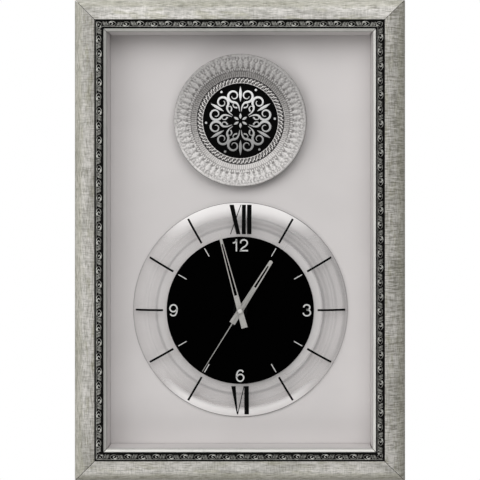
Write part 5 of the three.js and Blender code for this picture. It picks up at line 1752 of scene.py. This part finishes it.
class WALLCLOCK_OT_dial(Operator):
    """Black dial with its figures, and the nut that clamps it"""

    bl_idname = "wallclock.dial"
    bl_label = "Dial"

    FACETS = 180
    EDGE = 0.12 * MM
    PAINT_RISE = 0.07 * MM
    PAINT_SINK = 0.01 * MM
    NUT_EDGE = 0.3 * MM
    WASHER_EDGE = 0.15 * MM
    TICKED_HOURS = (1, 2, 4, 5, 7, 8, 10, 11)
    # Middle lines of the figures' strokes, in millimetres about the figure's middle
    FIGURES = {
        "1": [[(-3.6, 2.4), (-2.0, 2.6), (-0.6, 3.9), (-0.15, 5.7)], [(0.0, 6.2), (0.0, -6.2)]],
        "2": [[
            (-3.4, 2.0), (-3.1, 3.9), (-1.7, 5.2), (0.2, 5.45), (2.2, 4.8), (3.3, 3.0),
            (3.0, 1.0), (1.5, -0.8), (-0.8, -2.2), (-2.6, -3.8), (-3.3, -5.6),
        ], [(-4.1, -5.4), (4.1, -5.4)]],
        "3": [[
            (-3.4, 2.9), (-2.6, 4.7), (-0.5, 5.5), (1.8, 5.0), (2.9, 3.2), (2.1, 1.1), (-0.6, 0.4),
        ], [
            (-0.6, 0.4), (2.2, -0.1), (3.5, -2.2), (2.8, -4.4), (0.6, -5.5), (-1.9, -5.2),
            (-3.4, -3.7), (-3.7, -2.5),
        ]],
        "6": [[
            (3.2, 3.6), (2.2, 5.0), (0.4, 5.5), (-1.6, 4.8), (-3.0, 2.4), (-3.5, -0.6),
            (-3.2, -3.0), (-1.9, -4.9), (0.1, -5.5), (2.3, -4.7), (3.6, -2.6), (3.4, -0.6),
            (2.0, 1.0), (0.1, 1.4), (-1.9, 0.6), (-3.4, -1.2),
        ]],
    }
    # Figures on the dial, each with its middle in millimetres
    PLACES = {
        "figure_twelve": [("1", -3.9, 65.5), ("2", 3.7, 65.5)],
        "figure_three": [("3", 67.2, 0.0)],
        "figure_six": [("6", -0.2, -66.0)],
        "figure_nine": [("9", -67.2, 0.0)],
    }

    def figure(self, text, x, y, floor, width):
        """Strokes of a figure about its middle; nine is six turned over."""
        flip = -1 if text == "9" else 1
        meshes = []
        for line in self.FIGURES["6" if text == "9" else text]:
            line = np.array(line) * flip
            path = line if len(line) < 3 else smooth_path(line)
            meshes.append(ribbon(in_metres(path + np.array((x, y))), width, floor, self.PAINT_RISE))
        return meshes

    def execute(self, context):
        s = settings_of(context, "dial")
        place = dial_place(CLOCK)
        mesh = eased_disc(
            BUSH_HOLE, DIAL_RADIUS, DIAL_BACK, DIAL_FRONT, self.EDGE, self.FACETS
        )
        paint = surface("dial_paint", matt_print, s.black, 0.6, 0.0)
        add_piece("dial_face", mesh, [paint], ("dial_disc",), place)
        light = surface("figure_paint", matt_print, s.figure)
        floor = DIAL_FRONT - self.PAINT_SINK
        for name, digits in self.PLACES.items():
            strokes = [m for digit in digits for m in self.figure(*digit, floor, s.figure_width)]
            add_piece(name, joined(strokes), [light], (), place)
        ticks = []
        for hour in self.TICKED_HOURS:
            angle = TAU * hour / 12
            out = np.array((math.sin(angle), math.cos(angle)))
            path = [out * s.tick_inner, out * s.tick_outer]
            ticks.append(ribbon(path, s.tick_width, floor, self.PAINT_RISE))
        add_piece("dial_ticks", joined(ticks), [light], (), place)
        nut = surface("nut_finish", matt_print, s.nut, 0.5, 0.05)
        softened("mounting_nut", self.NUT_EDGE, nut)
        softened("nut_washer", self.WASHER_EDGE, nut)
        return {"FINISHED"}


class WALLCLOCK_OT_hands(Operator):
    """Slotted hour and minute hands, second needle and cap"""

    bl_idname = "wallclock.hands"
    bl_label = "Hands"

    # Sizes of the slotted hands, in millimetres
    SLOTTED = {
        "hour": {
            "tip": 59.4, "tail": 15, "tip_width": 3.7, "tail_width": 6.3, "point": 0.8,
            "hub_solid": 27.7, "tip_solid": 6.6, "slot_hub": 2.3, "slot_tip": 1.5,
            "bore": 2.5, "eye": 3.5,
        },
        "minute": {
            "tip": 80.2, "tail": 17.6, "tip_width": 2.5, "tail_width": 6.3, "point": 6,
            "hub_solid": 16, "tip_solid": 10.9, "slot_hub": 2.9, "slot_tip": 1.3,
            "bore": 1.8, "eye": 2.8,
        },
    }
    # Collar round a hand's bore: how far it stands behind the sheet and reaches into it
    EYE_BEHIND = 0.4 * MM
    EYE_INTO = 0.1 * MM
    # Second hand, in millimetres: tip, tail, half widths of tail and blade, cap and pin
    TIP, TAIL, TAIL_HALF, BLADE_HALF = 71, 27, 0.9, 0.6
    CAP_RADIUS, CAP_ROUND, CAP_RISE, CAP_STEPS = 2.4, 0.8, 1.4, 8
    PIN_RADIUS, PIN_LENGTH = 1.45, 0.7
    HOLE_FACETS, COLLAR_FACETS, CAP_FACETS = 32, 40, 48
    # Grain of the metal along each axis
    BRUSHED = (1800, 60, 1800)
    POLISHED = (900, 900, 900)

    def slotted(self, h, back, s):
        """A tapered bar with a slot and an eye, pointing up."""
        shoulder = h["tip"] - h["point"]
        tail, tip = h["tail_width"] / 2, h["tip_width"] / 2
        taper = np.interp(shoulder, (-h["tail"], h["tip"]), (tail, tip))
        blade = [
            (-tail, -h["tail"]), (tail, -h["tail"]), (taper, shoulder), (0, h["tip"]),
            (-taper, shoulder),
        ]
        end = h["tip"] - h["tip_solid"]
        near, far = h["slot_hub"] / 2, h["slot_tip"] / 2
        slot = [(-far, end), (far, end), (near, h["hub_solid"]), (-near, h["hub_solid"])]
        bore, eye = h["bore"] * MM, h["eye"] * MM
        hole = turned(bore, round_angles(self.HOLE_FACETS), 0.0)[::-1, :2]
        sheet = cut_sheet([in_metres(blade), in_metres(slot), hole], back, back + s.sheet, s.edge)
        behind, into = back - self.EYE_BEHIND, back + self.EYE_INTO
        section = [(bore, behind), (eye, behind), (eye, into), (bore, into)]
        return joined([sheet, lathe(section, self.COLLAR_FACETS)])

    def execute(self, context):
        s = settings_of(context, "hands")
        brushed = surface("hand_metal", metal, s.metal, 0.36, self.BRUSHED, 0.55)
        for name, size in self.SLOTTED.items():
            node = f"{name}_hand"
            mesh = self.slotted(size, front_of(node) - s.sheet, s)
            place = dial_place(CLOCK, getattr(s, f"{name}_angle"))
            body = f"{name}_work"
            add_piece(f"{name}_blade", mesh, [brushed], (node,), place, body)
        self.second(s)
        return {"FINISHED"}

    def second(self, s):
        """The needle with its cap and pin."""
        top = front_of("second_hand")
        back = top - self.CAP_RISE * MM - s.sheet
        wide, thin, cap = self.TAIL_HALF, self.BLADE_HALF, self.CAP_RADIUS
        right = [(wide, -self.TAIL), (wide, 0), (thin, cap), (thin / 2, self.TIP)]
        left = [(-x, y) for x, y in reversed(right)]
        outline = in_metres([left[-1], *right, *left[:-1]])
        sheet = cut_sheet([outline], back, back + s.sheet, s.edge)
        pin, foot = self.PIN_RADIUS * MM, back - self.PIN_LENGTH * MM
        profile = [(0, foot), (pin, foot), (pin, back), (cap * MM, back)]
        for angle in math.pi / 2 * np.arange(self.CAP_STEPS + 1) / self.CAP_STEPS:
            across = cap - self.CAP_ROUND * (1 - math.cos(angle))
            profile.append((across * MM, top - self.CAP_ROUND * (1 - math.sin(angle)) * MM))
        hub = lathe([*profile, (0, top)], self.CAP_FACETS)
        split = len(sheet.polygons)
        mesh = joined([sheet, hub])
        marks = [int(i >= split) for i in range(len(mesh.polygons))]
        mesh.polygons.foreach_set("material_index", marks)
        needle = surface("needle_metal", metal, s.needle, 0.34, self.BRUSHED, 0.55)
        polished = surface("cap_metal", metal, s.cap, 0.2, self.POLISHED, 0.6)
        place = dial_place(CLOCK, s.second_angle)
        add_piece(
            "second_needle", mesh, [needle, polished], ("second_hand",), place,
            "second_work",
        )


class WALLCLOCK_OT_movement(Operator):
    """Case, battery, wheels and motor behind the board"""

    bl_idname = "wallclock.movement"
    bl_label = "Movement"

    KNOB_EDGE = 0.15 * MM
    BATTERY_EDGE = 0.3 * MM
    CONTACT_EDGE = 0.1 * MM
    WASHER_EDGE = 0.2 * MM

    def execute(self, context):
        s = settings_of(context, "movement")
        steel = surface("fitting_steel", metal, settings_of(context, "box").steel)
        brass = surface("contact_brass", metal, s.brass)
        case = surface("case_plastic", moulded, s.case)
        gear = surface("gear_plastic", moulded, s.gear, 0.4)
        rubber = surface("washer_rubber", moulded, s.rubber, 0.8)
        sleeve = surface("battery_sleeve", battery_sleeve, s)
        for node in ("movement_case", "movement_cover"):
            softened(node, s.edge, case)
        softened("setting_knob", self.KNOB_EDGE, case, "setting_work")
        softened("battery", self.BATTERY_EDGE, sleeve)
        for node in ("contact_positive", "contact_negative"):
            softened(node, self.CONTACT_EDGE, brass)
        softened("rubber_washer", self.WASHER_EDGE, rubber)
        wheels = [f"{name}_wheel" for name in (
            "hour", "minute", "second", "motion", "third", "intermediate",
        )]
        finishes = {
            gear: wheels,
            surface("rotor_magnet", metal, s.magnet, 0.4): ["rotor"],
            steel: ["stator", "coil_core", "quartz_crystal"],
            surface("wound_copper", wound_copper, s): ["coil_winding"],
            surface("bobbin_plastic", moulded, s.bobbin): ["coil_bobbin"],
            surface("circuit_resin", moulded, s.circuit, 0.4, 800.0): ["circuit_board"],
        }
        for material, nodes in finishes.items():
            for node in nodes:
                for slot in bpy.data.objects[node].material_slots:
                    slot.material = material
        return {"FINISHED"}


class WALLCLOCK_OT_stage(Operator):
    """Camera, soft light, white surroundings and floor"""

    bl_idname = "wallclock.stage"
    bl_label = "Stage"

    # Distance from the wall of the point that the large lights look at
    AIM_DEPTH = 40 * MM
    SENSOR_MM = 36
    FLOOR_STEPS = 24

    def execute(self, context):
        s = settings_of(context, "stage")
        scene = context.scene
        scene.view_settings.view_transform = "Standard"
        self.camera(scene, s)
        box_middle = Vector((0, -self.AIM_DEPTH, FRAME_MIDDLE))
        clock = Vector((CLOCK[0], -GLASS_FRONT, CLOCK[1]))
        for name, target in (("key", box_middle), ("side", box_middle), ("low", clock)):
            place = target + Vector(getattr(s, f"{name}_from"))
            size = getattr(s, f"{name}_size")
            self.lamp(f"{name}_light", place, target, size, getattr(s, name))
        self.floor(s)
        self.surroundings(scene, s)
        return {"FINISHED"}

    def camera(self, scene, s):
        """A camera square to the wall, with its picture shifted onto the frame."""
        data = bpy.data.cameras.new("camera")
        data.sensor_width = self.SENSOR_MM
        data.lens = self.SENSOR_MM * s.distance / s.picture
        data.shift_x = -s.offset_x / s.picture
        data.shift_y = -s.offset_z / s.picture
        data.clip_start = 0.05
        camera = bpy.data.objects.new("camera", data)
        camera.location = (s.offset_x, -s.shoulder - s.distance, FRAME_MIDDLE + s.offset_z)
        camera.rotation_euler = (math.pi / 2, 0, 0)
        scene.collection.objects.link(camera)
        scene.camera = camera

    @staticmethod
    def lamp(name, place, target, size, watts):
        """A soft round light that shows in no reflection."""
        data = bpy.data.lights.new(name, "AREA")
        data.shape = "DISK"
        data.size = size
        data.energy = watts
        lamp = bpy.data.objects.new(name, data)
        lamp.location = place
        lamp.rotation_euler = (target - place).to_track_quat("-Z", "Y").to_euler()
        lamp.visible_glossy = False
        bpy.context.scene.collection.objects.link(lamp)

    def floor(self, s):
        """A level floor below the frame."""
        z = FRAME_MIDDLE - HALF_HEIGHT - s.floor_drop
        line = np.linspace(-s.floor_reach, s.floor_reach, self.FLOOR_STEPS + 1)
        points = [(x, y, z) for y in line for x in line]
        mesh = mesh_of(points, grid_faces(len(line), len(line)))
        mesh.materials.append(surface("floor_paint", floor_paint, s))
        floor = bpy.data.objects.new("floor", mesh)
        bpy.context.scene.collection.objects.link(floor)

    @staticmethod
    def surroundings(scene, s):
        """White to the camera and through glass, and a light that is brighter above than below."""
        world = bpy.data.worlds.new("surroundings")
        scene.world = world
        tree = Tree(world)
        ray = tree.node("ShaderNodeLightPath", out="Is Camera Ray")
        seen = ray.math("MAXIMUM", ray, ray.other("Is Transmission Ray"))
        rise = tree.between(tree.axes(tree.here("Generated"))[2], -1.0, 1.0)
        mirrored = ray.other("Is Glossy Ray") * (s.mirrored - s.ambient)
        lit = (s.ambient + mirrored) * (1 - s.ceiling + rise * 2 * s.ceiling)
        light = tree.node("ShaderNodeBackground", sockets={
            "Color": (1, 1, 1, 1), "Strength": lit + seen * (1 - lit),
        })
        tree.node("ShaderNodeOutputWorld", sockets={"Surface": light})


OPERATORS = (
    WALLCLOCK_OT_moulding,
    WALLCLOCK_OT_ornament,
    WALLCLOCK_OT_box,
    WALLCLOCK_OT_plate,
    WALLCLOCK_OT_glass,
    WALLCLOCK_OT_dial,
    WALLCLOCK_OT_hands,
    WALLCLOCK_OT_movement,
    WALLCLOCK_OT_stage,
)


class WALLCLOCK_PT_panel(Panel):
    """Lists the clock's pieces and their settings"""

    bl_idname = "WALLCLOCK_PT_panel"
    bl_label = "Wall clock"
    bl_space_type = "VIEW_3D"
    bl_region_type = "UI"
    bl_category = "Wall clock"

    def draw(self, context):
        for operator in OPERATORS:
            self.layout.operator(operator.bl_idname)
        for name, group in GROUPS.items():
            box = self.layout.box()
            box.label(text=group.__doc__)
            for key in group.__annotations__:
                box.prop(settings_of(context, name), key)


CLASSES = (*GROUPS.values(), ClockSettings, *OPERATORS, WALLCLOCK_PT_panel)


def register():
    for item in CLASSES:
        bpy.utils.register_class(item)
    bpy.types.Scene.wall_clock = PointerProperty(
        type=ClockSettings, name="Wall clock", description="Sizes and colours of the clock"
    )


def unregister():
    del bpy.types.Scene.wall_clock
    for item in reversed(CLASSES):
        bpy.utils.unregister_class(item)


def main():
    register()
    for operator in OPERATORS:
        group, name = operator.bl_idname.split(".")
        getattr(getattr(bpy.ops, group), name)()
    bpy.context.view_layer.update()


if __name__ == "__main__":
    main()
